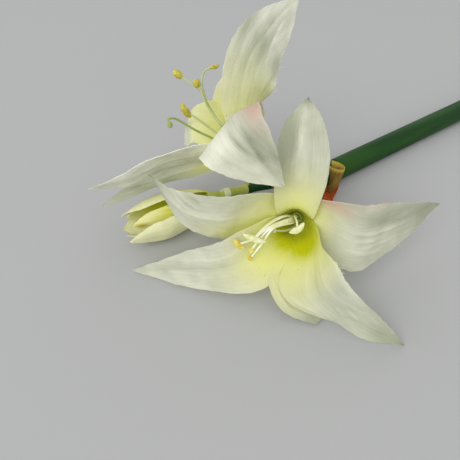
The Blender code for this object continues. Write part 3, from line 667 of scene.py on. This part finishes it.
def petal_tints(name, spec, u, v, x, across, fold, widths):
    """Strength of each tint over a petal: the real dyes, and painted shade over the whole petal, in the
    creases' valleys and in the listed spots, with painted highlight on the creases' crests.
    """
    pale = 1 - smooth_step(spec["deep"] * PALE_FROM, spec["pale"], x + PALE_DROP * v ** 2)
    start, end = (spec["deep"] * share for share in DEEP_FADE)
    # painted shade in the creases' valleys and painted highlight on their crests, from the creases' height
    relief = np.clip(-fold, 0, 2) * VALLEY_PAINTED_SHADE - np.clip(fold, 0, 2) * CREST_PAINTED_HIGHLIGHT
    # a petal's base level of painted shade darkens the whole petal where it lies in shade
    tints = {"throat_pale": np.maximum(pale, spec.get("yellowed", 0)), "olive": np.zeros_like(x),
             "dense": np.full_like(x, spec.get("dense", 0)),
             "throat_deep": 1 - smooth_step(start, end, x + DEEP_DROP * v ** 2),
             "shade": spec.get("painted_shade_base", 0) + relief, "blush": np.zeros_like(x)}
    for tint, stains in TINTS.get(name, {}).items():
        for u0, v0, reach, spread, strength in stains:
            along = (x - u0 * x[-1, 0]) / reach
            off = (across - v0 * np.interp(u0, u, widths)) / spread
            tints[tint] += strength * np.exp(-along ** 2 - off ** 2)
    return tints


def petal_cloth(name, spec, rows, columns, silk):
    """Inner side of a petal as a grid of points, with its cloth coordinates and its tints."""
    points, tangents, looks, length = petal_frames(spec, rows)
    seed = list(PETALS).index(name)
    u = np.linspace(0, 1, rows + 1)
    opened = opened_at(spec, u * length)
    widths = half_width(spec, u)
    sides = np.cross(tangents, looks)
    roll = np.radians(spec.get("roll", 0)) * opened[:, None]
    sides, looks = (sides * np.cos(roll) + looks * np.sin(roll),
                    looks * np.cos(roll) - sides * np.sin(roll))
    uu, vv = np.meshgrid(u, np.linspace(-1, 1, columns + 1), indexing="ij")
    x = uu * length
    across = spread_across(spec, uu, vv, x, widths, opened, seed)
    run, lift = bent_across(across, across_bend(spec, points, u * length, opened)[:, None])
    wave = np.sin(2 * math.pi * (EDGE_WAVES * uu + WAVE_LAG * np.sign(vv)))
    wave = spec.get("wave", 0) * opened[:, None] * vv ** 2 * wave
    fold_up = ridge(spec, uu, vv) * (widths / spec["half_width"] * opened)[:, None]
    lift = lift + (wave + fold_up) * (1 - uu ** 6)
    fold = crease_height(CREASES.get(name, ()), x, across, length, widths)
    veins = np.cos(vv * 2 * math.pi * spec["half_width"] / VEIN_SPACING) * silk.vein_height / MM
    uneven = ripple(x, across, WANDER, seed) * silk.unevenness / MM
    uneven += ripple(x * 0.5, across, FINE_WANDER, seed + SEEDS["fine"]) * silk.unevenness / MM * FINE_SHARE
    lift = lift + (fold + veins + uneven) * opened[:, None]
    grid = laid(points, sides, run, looks, lift)
    tuck_tip(spec, grid, looks, vv[0], widths)
    return grid, x, across, petal_tints(name, spec, u, vv, x, across, fold, widths)


def close_throat(cloths):
    """Joins the inner petals' edges low in the throat, and brings the outer petals up behind them."""
    shifts = {}
    for left, right, low, high in SEAMS:
        for name, other, near, far in ((left, right, -1, 0), (right, left, 0, -1)):
            grid, run = cloths[name][0], cloths[name][1][:, 0]
            facing = points_at(run, cloths[other][1][:, 0], cloths[other][0][:, far])
            move = (facing - grid[:, near]) / 2 * (1 - smooth_step(low, high, run))[:, None]
            v = np.linspace(-1, 1, grid.shape[1]) * (1 if near else -1)
            shifts[name] = shifts.get(name, 0) + move[:, None] * smooth_step(*SEAM_PULLS, v)[None, :, None]
    for name, shift in shifts.items():
        cloths[name][0][:] += shift
    for name, top, end, back in SNUG:
        grid, x = cloths[name][:2]
        run = x[:, 0]
        looks = petal_frames(PETALS[name], len(run) - 1)[2]
        rise = np.interp(run, (*SNUG_RUN, end), (*SNUG_START, top, 0.0)) * smooth_step(0, 2, run)
        held = 1 - STAYS_BACK * smooth_step(*BACK_REACH, np.linspace(-1, 1, grid.shape[1]) * back)
        grid += looks[:, None] * rise[:, None, None] * held[None, :, None]


def select_only(*pieces):
    bpy.ops.object.select_all(action="DESELECT")
    for piece in pieces:
        piece.select_set(True)
    bpy.context.view_layer.objects.active = pieces[0]


def coordinates_of(mesh):
    co = np.empty(len(mesh.vertices) * 3)
    mesh.vertices.foreach_get("co", co)
    return co.reshape(-1, 3)


def sheet_of(name, finish, grid, cloth, tints=None):
    """A grid primitive laid on rows of points (layout mm), with a UV map in decimetres of cloth."""
    rows, columns = len(grid) - 1, len(grid[0]) - 1
    bpy.ops.object.select_all(action="DESELECT")
    bpy.ops.mesh.primitive_grid_add(x_subdivisions=rows, y_subdivisions=columns, size=1, calc_uvs=True)
    piece = bpy.context.object
    piece.name = piece.data.name = name
    mesh = piece.data
    co = coordinates_of(mesh)
    i = np.rint((co[:, 0] + 0.5) * rows).astype(int)
    j = np.rint((0.5 - co[:, 1]) * columns).astype(int)
    mesh.vertices.foreach_set("co", placed(np.asarray(grid)[i, j]).ravel())
    loops = np.empty(len(mesh.loops), dtype=int)
    mesh.loops.foreach_get("vertex_index", loops)
    spread = np.stack([cloth[0][i, j], cloth[1][i, j]], axis=1) / CLOTH_UNIT
    mesh.uv_layers[0].name = "cloth"
    mesh.uv_layers[0].uv.foreach_set("vector", spread[loops].ravel())
    for key, values in (tints or {}).items():
        layer = mesh.attributes.new(key, "FLOAT", "POINT")
        layer.data.foreach_set("value", values[i, j].astype(np.float32))
    mesh.materials.append(finish)
    mesh.update()
    return piece


def thicken(piece, thickness):
    """Gives a sheet its thickness, on its outer side, and applies it."""
    select_only(piece)
    shell = piece.modifiers.new("thickness", "SOLIDIFY")
    shell.thickness = thickness
    shell.offset = -1
    bpy.ops.object.modifier_apply(modifier=shell.name)
    bpy.ops.object.shade_smooth_by_angle(angle=SMOOTH_ANGLE)


def tube_of(name, finish, points, radii, sides=24):
    """A round tube along points (layout mm): a grid rolled up, its seam merged and its ends closed."""
    points = np.asarray(points, dtype=float)
    tangents = tangents_of(points)
    looks = carried(tangents, vec(TUBE_LOOK))
    across = np.cross(tangents, looks)
    angle = np.linspace(0, 2 * math.pi, sides + 1)
    radii = np.asarray(radii, dtype=float)
    if radii.ndim == 1:
        radii = np.repeat(radii[:, None], sides + 1, axis=1)
    grid = laid(points, across, np.sin(angle) * radii, looks, np.cos(angle) * radii)
    x = np.repeat(lengths_along(points)[:, None], sides + 1, axis=1)
    y = np.repeat((angle * float(np.mean(radii)))[None, :], len(points), axis=0)
    piece = sheet_of(name, finish, grid, (x, y))
    select_only(piece)
    bpy.ops.object.mode_set(mode="EDIT")
    bpy.ops.mesh.select_all(action="SELECT")
    bpy.ops.mesh.remove_doubles(threshold=MERGED_BELOW * MM)
    bpy.ops.mesh.fill_holes(sides=0)
    bpy.ops.mesh.select_all(action="SELECT")
    bpy.ops.mesh.normals_make_consistent(inside=False)
    bpy.ops.object.mode_set(mode="OBJECT")
    bpy.ops.object.shade_smooth_by_angle(angle=SMOOTH_ANGLE)
    return piece


def joined(name, pieces):
    select_only(*pieces)
    bpy.ops.object.join()
    whole = bpy.context.object
    whole.name = whole.data.name = name
    return whole


def dressed(piece, node_name):
    """Gives a finished piece its body, and hides the frame's part for the node that it stands for."""
    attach(piece, "root")
    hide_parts(node_name)


def node(tree, kind, inputs, out=0, **settings):
    """Adds a node with its settings and gives one of its outputs; inputs are values or other outputs."""
    made = tree.nodes.new("ShaderNode" + kind)
    for key, value in settings.items():
        setattr(made, key, value)
    for key, value in inputs.items():
        socket = made.inputs[key]
        if isinstance(value, bpy.types.NodeSocket):
            tree.links.new(value, socket)
        else:
            socket.default_value = (*value[:3], 1) if socket.type == "RGBA" else value
    return made.outputs[out] if made.outputs else None


def new_material(name):
    """A material and what adds a node to it, or nothing in its place where the material is there."""
    made = bpy.data.materials.get(name)
    if made:
        return made, None
    made = bpy.data.materials.new(name)
    made.use_nodes = True
    made.node_tree.nodes.clear()
    return made, partial(node, made.node_tree)


# Settings of a Mix node that mixes colours, with its factor, first and second colour as inputs 0, 6, 7
COLOURS = {"out": 2, "data_type": "RGBA"}


def silk_material(silk):
    """Polyester silk, woven, dyed and heat-set: matt cream that lets light through."""
    made, add = new_material("woven_polyester_silk")
    if add is None:
        return made
    cloth = add("UVMap", {}, uv_map="cloth")
    drawn_out = add("Mapping", {0: cloth, 3: (2.0, 34.0, 1.0)})
    # dye pools in patches about 12 mm across, and runs along the threads in streaks about 1 mm wide
    patches = add("TexNoise", {"Vector": cloth, "Scale": 8.0, "Detail": 4.0})
    streaks = add("TexNoise", {"Vector": drawn_out, "Scale": 3.0, "Detail": 6.0, "Roughness": 0.65})
    pooled = add("MapRange", {0: patches, 1: 0.42, 2: 0.72, 4: 0.4})
    streaked = add("MapRange", {0: streaks, 1: 0.5, 2: 0.78, 4: 0.35})
    colour = add("Mix", {0: pooled, 6: silk.cream, 7: silk.shade}, **COLOURS)
    colour = add("Mix", {0: streaked, 6: colour, 7: silk.shade}, **COLOURS)
    # the first of these is painted shade (and painted highlight where it is taken off); the rest are the
    # silk's real dyes
    for tint, stain, spread in (("shade", silk.shade, 0.2), ("throat_pale", silk.pale_green, 0.15),
                                ("throat_deep", silk.deep_green, 0.4), ("blush", silk.blush, 0.3),
                                ("olive", silk.olive, 0.3)):
        amount = add("Attribute", {}, "Fac", attribute_name=tint)
        run = add("MapRange", {0: streaks, 1: 0.3, 2: 0.7, 3: 1 - spread, 4: 1 + spread})
        amount = add("Math", {0: amount, 1: run}, operation="MULTIPLY", use_clamp=True)
        colour = add("Mix", {0: amount, 6: colour, 7: stain}, **COLOURS)
    # small green spots of dye, about 1 mm across, in the throat only
    spots = add("TexNoise", {"Vector": cloth, "Scale": 85.0, "Detail": 1.0})
    spots = add("MapRange", {0: spots, 1: 0.73, 2: 0.79})
    green = add("Attribute", {}, "Fac", attribute_name="throat_pale")
    amount = add("Math", {0: spots, 1: green}, operation="MULTIPLY")
    colour = add("Mix", {0: amount, 6: colour, 7: silk.spots}, **COLOURS)
    # threads about 0.3 mm apart, drawn coarser so that they show
    bands = CLOTH_UNIT * MM / silk.thread_spacing / WAVE_BANDS
    warp, weft = (add("TexWave", {"Vector": cloth, "Scale": bands, "Distortion": 0.4}, 1,
                      bands_direction=way) for way in "XY")
    weave = add("Math", {0: warp, 1: weft}, operation="ADD")
    height = add("Math", {0: weave, 1: streaks}, operation="ADD")
    bump = add("Bump", {"Strength": 0.25, "Distance": 0.2 * MM, "Height": height})
    body = add("BsdfPrincipled", {"Base Color": colour, "Roughness": 0.72, "Specular IOR Level": 0.25,
                                  "Sheen Weight": 0.12, "Sheen Roughness": 0.5, "Normal": bump})
    through = add("Mix", {0: 0.2, 6: colour, 7: silk.glow}, blend_type="MULTIPLY", **COLOURS)
    glow = add("BsdfTranslucent", {"Color": through, "Normal": bump})
    thin = add("Attribute", {}, "Fac", attribute_name="throat_deep")
    passing = add("MapRange", {0: thin, 3: silk.see_through, 4: silk.see_through + 0.12})
    # less light passes where the silk is stiffened, and where petals lie over one another in the bud
    dense = add("Attribute", {}, "Fac", attribute_name="dense")
    open_weave = add("MapRange", {0: dense, 3: 1.0, 4: 0.0})
    passing = add("Math", {0: passing, 1: open_weave}, operation="MULTIPLY")
    add("OutputMaterial", {0: add("MixShader", {0: passing, 1: body, 2: glow})})
    return made


def plastic(key, worn=False):
    """Moulded or coated plastic: two close tones that run together, and a fine uneven surface."""
    name, main, second, roughness, drawn_out, scale, depth, specular = PLASTICS[key]
    made, add = new_material(name)
    if add is None:
        return made
    stem = bpy.context.scene.amaryllis_stem
    main, second = (linear(tone) if tone.startswith("#") else getattr(stem, tone)
                    for tone in (main, second))
    place = add("TexCoord", {}, "Object")
    drawn = add("Mapping", {0: place, 3: drawn_out})
    tone = add("TexNoise", {"Vector": drawn, "Scale": scale, "Detail": 4.0})
    second_share = add("MapRange", {0: tone, 1: 0.35, 2: 0.68})
    colour = add("Mix", {0: second_share, 6: main, 7: second}, **COLOURS)
    if worn:
        reach = add("SeparateXYZ", {0: place})
        share = add("MapRange", {0: reach, 1: WORN_END[0], 2: WORN_END[1], 3: 1.0, 4: 0.0})
        colour = add("Mix", {0: share, 6: colour, 7: stem.worn_green}, **COLOURS)
    rough = add("MapRange", {0: tone, 1: 0.3, 2: 0.7, 3: roughness - 0.05, 4: roughness + 0.08})
    # the grain of the mould or of the flock, about 0.7 mm
    grain = add("TexNoise", {"Vector": place, "Scale": 1500.0, "Detail": 2.0})
    bump = add("Bump", {"Strength": 0.3, "Distance": depth * MM, "Height": grain})
    body = add("BsdfPrincipled", {"Base Color": colour, "Roughness": rough,
                                  "Specular IOR Level": specular, "Normal": bump})
    add("OutputMaterial", {0: body})
    return made


def paper_cloth(name, main, second, features):
    """Dyed paper-like cloth, matt and a little see-through, with ribs or speckles of a darker tone."""
    made, add = new_material(name)
    if add is None:
        return made
    cloth = add("UVMap", {}, uv_map="cloth")
    drawn = add("Mapping", {0: cloth, 3: features})
    tone = add("TexNoise", {"Vector": drawn, "Scale": 10.0, "Detail": 4.0})
    share = add("MapRange", {0: tone, 1: 0.42, 2: 0.62})
    colour = add("Mix", {0: share, 6: main, 7: second}, **COLOURS)
    rim = add("Attribute", {}, "Fac", attribute_name="rim")
    rim_tone = bpy.context.scene.amaryllis_stem.tan_rim
    colour = add("Mix", {0: rim, 6: colour, 7: rim_tone}, **COLOURS)
    bump = add("Bump", {"Strength": 0.5, "Distance": 0.2 * MM, "Height": tone})
    body = add("BsdfPrincipled", {"Base Color": colour, "Roughness": 0.7,
                                  "Specular IOR Level": 0.3, "Normal": bump})
    glow = add("BsdfTranslucent", {"Color": colour})
    add("OutputMaterial", {0: add("MixShader", {0: 0.2, 1: body, 2: glow})})
    return made


def floor_material(tone):
    """Pale laminate, matt, with a tone that hardly wanders."""
    made, add = new_material("matt_laminate_pale")
    if add is None:
        return made
    place = add("TexCoord", {}, "Object")
    clouds = add("TexNoise", {"Vector": place, "Scale": 6.0, "Detail": 2.0})
    lighter = [min(1.0, c * 1.02) for c in tone]
    colour = add("Mix", {0: clouds, 6: tone, 7: lighter}, **COLOURS)
    body = add("BsdfPrincipled", {"Base Color": colour, "Roughness": 0.8, "Specular IOR Level": 0.2})
    add("OutputMaterial", {0: body})
    return made


def loose_threads(name, finish, grid):
    """Threads that have come loose along the frayed part of a petal's edge: thin, curved and tapered."""
    if "frayed" not in PETALS[name]:
        return []
    first, last, side, _, count = PETALS[name]["frayed"]
    rng = np.random.default_rng(list(PETALS).index(name) + SEEDS["threads"])
    rows, edge = len(grid) - 1, (-1 if side > 0 else 0)
    radii = np.linspace(THREAD_RADIUS, THREAD_RADIUS * THREAD_TIP, THREAD_POINTS)
    threads = []
    for share in np.linspace(first, last, count) + rng.uniform(-THREAD_JITTER, THREAD_JITTER, count):
        i = min(max(int(share * rows), 1), rows - 1)
        start = grid[i, edge]
        outward = unit(start - grid[i, edge + (-THREAD_AIM if side > 0 else THREAD_AIM)])
        along = unit(grid[i + 1, edge] - grid[i - 1, edge])
        bend = along * rng.uniform(*CURL_ALONG) + vec((0, 0, 1)) * rng.uniform(*CURL_UP)
        t = np.linspace(0, 1, THREAD_POINTS)[:, None] * rng.uniform(*THREAD_LENGTHS)
        route = start + outward * (t * THREAD_SPREAD - THREAD_ROOT) + bend * t ** 1.5 * CURL
        threads.append(tube_of("thread", finish, route, radii, sides=5))
    return threads


def build_petals(flower, rows, columns):
    silk = bpy.context.scene.amaryllis_silk
    finish = silk_material(silk)
    cloths = {name: petal_cloth(name, spec, rows, columns, silk)
              for name, spec in PETALS.items() if spec["flower"] == flower}
    if flower == "a":
        close_throat(cloths)
    for name, (grid, x, y, tints) in cloths.items():
        cut_at = CUT_APART * list(PETALS).index(name)
        piece = sheet_of("silk_" + name, finish, grid, (x + cut_at, y), tints)
        thicken(piece, silk.thickness)
        dressed(joined(piece.name, [piece, *loose_threads(name, finish, grid)]), name)


class FrontBloom(bpy.types.Operator):
    """Six silk petals of the front bloom"""
    bl_idname = "amaryllis.front_bloom"
    bl_label = "Front bloom"

    def execute(self, context):
        build_petals("a", *OPEN_FACES)
        return {"FINISHED"}


class BackBloom(bpy.types.Operator):
    """Six silk petals of the back bloom"""
    bl_idname = "amaryllis.back_bloom"
    bl_label = "Back bloom"

    def execute(self, context):
        build_petals("b", *OPEN_FACES)
        return {"FINISHED"}


class Bud(bpy.types.Operator):
    """Six silk petals of the half-open bud"""
    bl_idname = "amaryllis.bud"
    bl_label = "Bud"

    def execute(self, context):
        build_petals("c", *BUD_FACES)
        return {"FINISHED"}


class Scape(bpy.types.Operator):
    """The thick coated scape with its plain cut end"""
    bl_idname = "amaryllis.scape"
    bl_label = "Scape"

    def execute(self, context):
        top, cut = np.array(TOP_EDGE, dtype=float), np.array(CUT_EDGE, dtype=float)
        run = np.concatenate((top[:, 0], np.linspace(PLAIN_FROM, SCAPE_LENGTH - PLAIN_FROM, PLAIN_RINGS),
                              SCAPE_LENGTH - cut[:, 0]))
        inset = np.concatenate((top[:, 1], np.zeros(PLAIN_RINGS), cut[:, 1]))
        points = np.stack([SCAPE_TOP + run, 0 * run, 0 * run + SCAPE_RADIUS], axis=1)
        # rings in one plane keep a hair apart, so that the line through them has a direction
        points[:, 0] += np.linspace(-1e-4, 1e-4, len(run))
        finish = plastic("coated_worn", worn=True)
        piece = tube_of("scape", finish, points, SCAPE_RADIUS - inset, SCAPE_SIDES)
        dressed(piece, "stem")
        return {"FINISHED"}


def stalk_route(flower, count):
    """From the scape's top to a flower's neck: a curve that leaves straight and arrives facing its way."""
    spec = FLOWERS[flower]
    neck = vec(spec["neck"])
    angle = math.radians(spec["stalk_at"])
    start = vec((SCAPE_TOP - GAP, STALK_RING * math.cos(angle), SCAPE_RADIUS + STALK_RING * math.sin(angle)))
    reach = np.linalg.norm(neck - start)
    first = start + vec((-1, 0, 0)) * reach * STALK_EASE
    last = neck - mouth_axes(flower)[0] * reach * STALK_EASE
    t = np.linspace(0, 1, count)[:, None]
    return (1 - t) ** 3 * start + 3 * (1 - t) ** 2 * t * first + 3 * (1 - t) * t ** 2 * last + t ** 3 * neck


def lobe_of(name, finish, route, spec):
    """A small pointed lobe that rises from a step of a stalk's route."""
    rise = np.linspace(*spec["reach"], len(spec["radii"]))[:, None]
    return tube_of(name, finish, route[spec["step"]] + vec((spec["lean"], 0, 1)) * rise, spec["radii"])


class Stalks(bpy.types.Operator):
    """The green flower stalks and the pale moulded throats"""
    bl_idname = "amaryllis.stalks"
    bl_label = "Stalks and throats"

    def execute(self, context):
        for flower, spec in FLOWERS.items():
            route = stalk_route(flower, STALK_STEPS * FINER + 1)
            joint = round(spec["joint"] * STALK_STEPS) * FINER
            swell = smooth_step(joint - STALK_SWELL_STEPS, joint, np.arange(joint + 1)) * JOINT_SWELL
            name = "flower_stalk_" + flower
            piece = tube_of(name, plastic("coated"), route[:joint + 1], STALK_RADIUS + swell)
            dressed(piece, "stalk_" + flower)
            face = mouth_axes(flower)[0]
            start = route[joint] + unit(route[joint + 1] - route[joint]) * GAP
            shoulder = [route[-1] + face * rise
                        for rise in (SHOULDER_TOP, SHOULDER_TOP + SHOULDER_SLOPE, THROAT_SINK)]
            throat = np.concatenate(([start], route[joint + 1:], shoulder))
            near = 1 - smooth_step(0, SHOULDER_RISE, np.linalg.norm(throat - route[-1], axis=1))
            radii = THROAT_RADIUS + (SHOULDER_RADIUS - THROAT_RADIUS) * near
            radii += JOINT_SWELL * (1 - smooth_step(0, THROAT_SWELL_STEPS, np.arange(len(throat))))
            tip = LAYER_RADIUS["inner"] - GAP
            radii[-3:] = (SHOULDER_RADIUS, tip, tip)
            piece = tube_of("flower_throat_" + flower, plastic("throat"), throat, radii)
            if flower == "c":
                least, most = RING_RISE
                swollen = np.sin(np.linspace(0, math.pi, 5)) * most + THROAT_RADIUS + least
                ring = tube_of("ring", plastic("joint"), route[RING_STEPS], swollen)
                knob = lobe_of("knob", plastic("joint"), route, KNOB)
                lobe = lobe_of("lobe", plastic("throat"), route, LOBE)
                piece = joined(piece.name, [piece, ring, knob, lobe])
            dressed(piece, "throat_" + flower)
        return {"FINISHED"}


def strip_along(midline, look, rows, columns):
    """A line with the looks and sides across it, its length, and a strip's u and v."""
    points, length = spline(midline, rows + 1)
    tangents = tangents_of(points)
    looks = carried(tangents, vec(look))
    u = np.linspace(0, 1, rows + 1)[:, None]
    v = np.linspace(-1, 1, columns + 1)[None, :]
    return points, tangents, looks, np.cross(tangents, looks), length, u, v


def tan_bract(stem):
    spec = TAN_BRACT
    points, tangents, looks, sides, length, u, v = strip_along(spec["midline"], (0, 1, 0), *TAN_FACES)
    depth, number = spec["ribs"]
    radius = spec["foot"] + (spec["mouth"] - spec["foot"]) * u ** 0.7
    radius = radius * (1 + depth * np.cos(v * number)) + spec["flare"] * smooth_step(spec["flare_from"], 1, u)
    angle = np.radians(spec["wrap"]) * v
    drop = spec["slant"] * u * (0.5 + 0.5 * np.cos(angle))
    grid = laid(points, sides, radius * np.sin(angle), looks, -radius * np.cos(angle))
    grid -= tangents[:, None] * drop[..., None]
    rim = smooth_step(*spec["rim"], u) + 0 * v
    # ribs about 0.8 mm apart run along it
    finish = paper_cloth("dyed_paper_cloth_tan", stem.tan, stem.tan_rib, (0.6, 12.0, 1.0))
    piece = sheet_of("tan_bract", finish, grid, (u * length + 0 * v, radius * angle), {"rim": rim})
    thicken(piece, BRACT_THICKNESS * MM)
    dressed(piece, "bract_tan")


def red_bract(stem):
    spec = RED_BRACT
    points, _, looks, sides, length, u, v = strip_along(spec["midline"], (0, 0, 1), *RED_FACES)
    width = np.maximum(spec["half_width"] * np.sin(math.pi * (0.2 + 0.8 * u)) ** 0.7, TIP_HALF_WIDTH)
    bend = np.maximum(np.radians(spec["curl"]) * u / spec["half_width"], 1e-4)
    run, lift = bent_across(width * v, bend)
    # speckles about 0.7 mm across
    finish = paper_cloth("dyed_paper_cloth_red", stem.red, stem.dark_red, (14.0, 14.0, 1.0))
    grid = laid(points, sides, run, looks, lift)
    piece = sheet_of("red_bract", finish, grid, (u * length + 0 * v, width * v))
    thicken(piece, BRACT_THICKNESS * MM)
    dressed(piece, "bract_red")


class Bracts(bpy.types.Operator):
    """The dried tan bract and the small red one"""
    bl_idname = "amaryllis.bracts"
    bl_label = "Bracts"

    def execute(self, context):
        tan_bract(context.scene.amaryllis_stem)
        red_bract(context.scene.amaryllis_stem)
        return {"FINISHED"}


def anther_of(finish, middle, along, length, half_thick, bow, seed):
    """A long grainy anther with a groove along it, about its middle, its ends bent up by the bow."""
    bpy.ops.object.select_all(action="DESELECT")
    bpy.ops.mesh.primitive_ico_sphere_add(subdivisions=5, radius=1)
    piece = bpy.context.object
    co = coordinates_of(piece.data)
    axis = unit(vec(along))
    side = unit(np.cross(axis, vec((0.1, 0.3, 1))))
    rng = np.random.default_rng(seed)
    waves, relief, steepness, finer = GRAIN
    bumps = np.zeros(len(co))
    for _ in range(waves):
        way = rng.normal(size=3)
        bumps += np.sin(co @ (way * np.array((length, finer, finer)) * steepness) + rng.uniform(0, 6.28))
    depth, half = GROOVE
    swell = 1 + relief * bumps - depth * np.exp(-(co[:, 1] / half) ** 2) * (co[:, 2] < 0)
    thick = half_thick * swell * (1 - BLUNT * np.abs(co[:, 0]) ** 3)
    bend = -bow * length * (co[:, 0] ** 2 - BOW_CROSSES)
    points = (vec(middle) + axis * (co[:, 0] * length / 2)[:, None] + side * (co[:, 1] * thick)[:, None]
              + np.cross(axis, side) * (co[:, 2] * thick + bend)[:, None])
    piece.data.vertices.foreach_set("co", placed(points).ravel())
    piece.data.materials.append(finish)
    piece.data.update()
    bpy.ops.object.shade_smooth()
    return piece


class Stamens(bpy.types.Operator):
    """Filaments, anthers and style of both blooms"""
    bl_idname = "amaryllis.stamens"
    bl_label = "Stamens"

    def execute(self, context):
        narrowing = 1 - THINNING * np.linspace(0, 1, FILAMENT_POINTS) ** 1.5
        around = np.linspace(0, 2 * math.pi, FILAMENT_SIDES + 1)
        for flower, ring in STAMENS.items():
            face, up, right = mouth_axes(flower)
            foot = vec(FLOWERS[flower]["neck"]) + face * (THROAT_SINK + GAP)
            disc = [foot + face * rise for rise, _ in DISC]
            rods = [tube_of("disc", plastic("heart"), disc, [radius for _, radius in DISC])]
            anthers = []
            for seed, (place, way, (wide, thick), finish, along, shape, tip_finish) in enumerate(ring):
                angle = math.radians(place)
                outward = up * math.cos(angle) + right * math.sin(angle)
                start = foot + face * ROOT_HEIGHT + outward * ROOT_RADIUS
                route = spline([start, *way], FILAMENT_POINTS)[0]
                oval = 1 / np.sqrt((np.cos(around) / thick) ** 2 + (np.sin(around) / wide) ** 2)
                radii = narrowing[:, None] * oval
                rods.append(tube_of("filament", plastic(finish), route, radii, FILAMENT_SIDES))
                anthers.append(anther_of(plastic(tip_finish), way[-1], along, *shape, seed))
            dressed(joined("filaments_" + flower, rods), "stamens_" + flower)
            dressed(joined("anthers_" + flower, anthers), "stamens_" + flower)
        return {"FINISHED"}


def lay_floor(stage):
    bpy.ops.object.select_all(action="DESELECT")
    bpy.ops.mesh.primitive_plane_add(size=FLOOR_WIDTH)
    floor = bpy.context.object
    floor.name = "floor"
    floor.data.materials.append(floor_material(stage.floor))


def light_room(scene, stage, look, right):
    """Even light all round, and a large soft light from the front left and above."""
    world = bpy.data.worlds.new("even_room_light")
    world.use_nodes = True
    background = world.node_tree.nodes["Background"]
    background.inputs[0].default_value = (*linear(ROOM_LIGHT), 1)
    background.inputs[1].default_value = stage.sky
    scene.world = world
    lamp = bpy.data.lights.new("soft_key", "AREA")
    lamp.shape = "SQUARE"
    lamp.size = KEY_WIDTH
    lamp.energy = stage.key_power
    key = bpy.data.objects.new("soft_key", lamp)
    scene.collection.objects.link(key)
    away = Vector((look.x, look.y, 0)).normalized()
    way = (Vector((0, 0, 1)) - right * KEY_LEFT - away).normalized()
    key.location = Vector(LIT_PLACE) + way * KEY_DISTANCE
    key.rotation_euler = way.to_track_quat("Z", "Y").to_euler()


class Stage(bpy.types.Operator):
    """Plain pale floor, soft light and the camera"""
    bl_idname = "amaryllis.stage"
    bl_label = "Stage"

    def execute(self, context):
        scene = context.scene
        look, up = Vector(LOOK), Vector(LOOK_UP)
        right = look.cross(up).normalized()
        lay_floor(scene.amaryllis_stage)
        light_room(scene, scene.amaryllis_stage, look, right)
        camera = bpy.data.cameras.new("camera")
        camera.sensor_width = SENSOR
        camera.lens = SENSOR * LENS_PIXELS / PICTURE_PIXELS
        camera.clip_start = 0.01
        eye = bpy.data.objects.new("camera", camera)
        scene.collection.objects.link(eye)
        axes = Matrix((right, up.normalized(), (-look).normalized())).transposed()
        eye.matrix_world = Matrix.Translation(EYE) @ axes.to_4x4()
        scene.camera = eye
        scene.view_settings.view_transform = "Standard"
        return {"FINISHED"}


class AmaryllisPanel(bpy.types.Panel):
    bl_idname = "VIEW3D_PT_amaryllis"
    bl_label = "Silk amaryllis stem"
    bl_space_type = "VIEW_3D"
    bl_region_type = "UI"
    bl_category = "Amaryllis"

    def draw(self, context):
        for group in GROUPS:
            settings = getattr(context.scene, group)
            for key in settings.__annotations__:
                self.layout.prop(settings, key)
        for step in OPERATORS:
            self.layout.operator(step.bl_idname)


OPERATORS = (Stage, Scape, Stalks, Bracts, FrontBloom, BackBloom, Bud, Stamens)
GROUPS = {"amaryllis_silk": SilkSettings, "amaryllis_stem": StemSettings, "amaryllis_stage": StageSettings}


def register():
    for made in (*GROUPS.values(), *OPERATORS, AmaryllisPanel):
        bpy.utils.register_class(made)
    for name, group in GROUPS.items():
        setattr(bpy.types.Scene, name, bpy.props.PointerProperty(type=group))


def unregister():
    for name in GROUPS:
        delattr(bpy.types.Scene, name)
    for made in (AmaryllisPanel, *reversed(OPERATORS), *reversed(GROUPS.values())):
        bpy.utils.unregister_class(made)


def main():
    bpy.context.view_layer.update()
    register()
    for step in OPERATORS:
        group, name = step.bl_idname.split(".")
        getattr(getattr(bpy.ops, group), name)()
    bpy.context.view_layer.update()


if __name__ == "__main__":
    main()
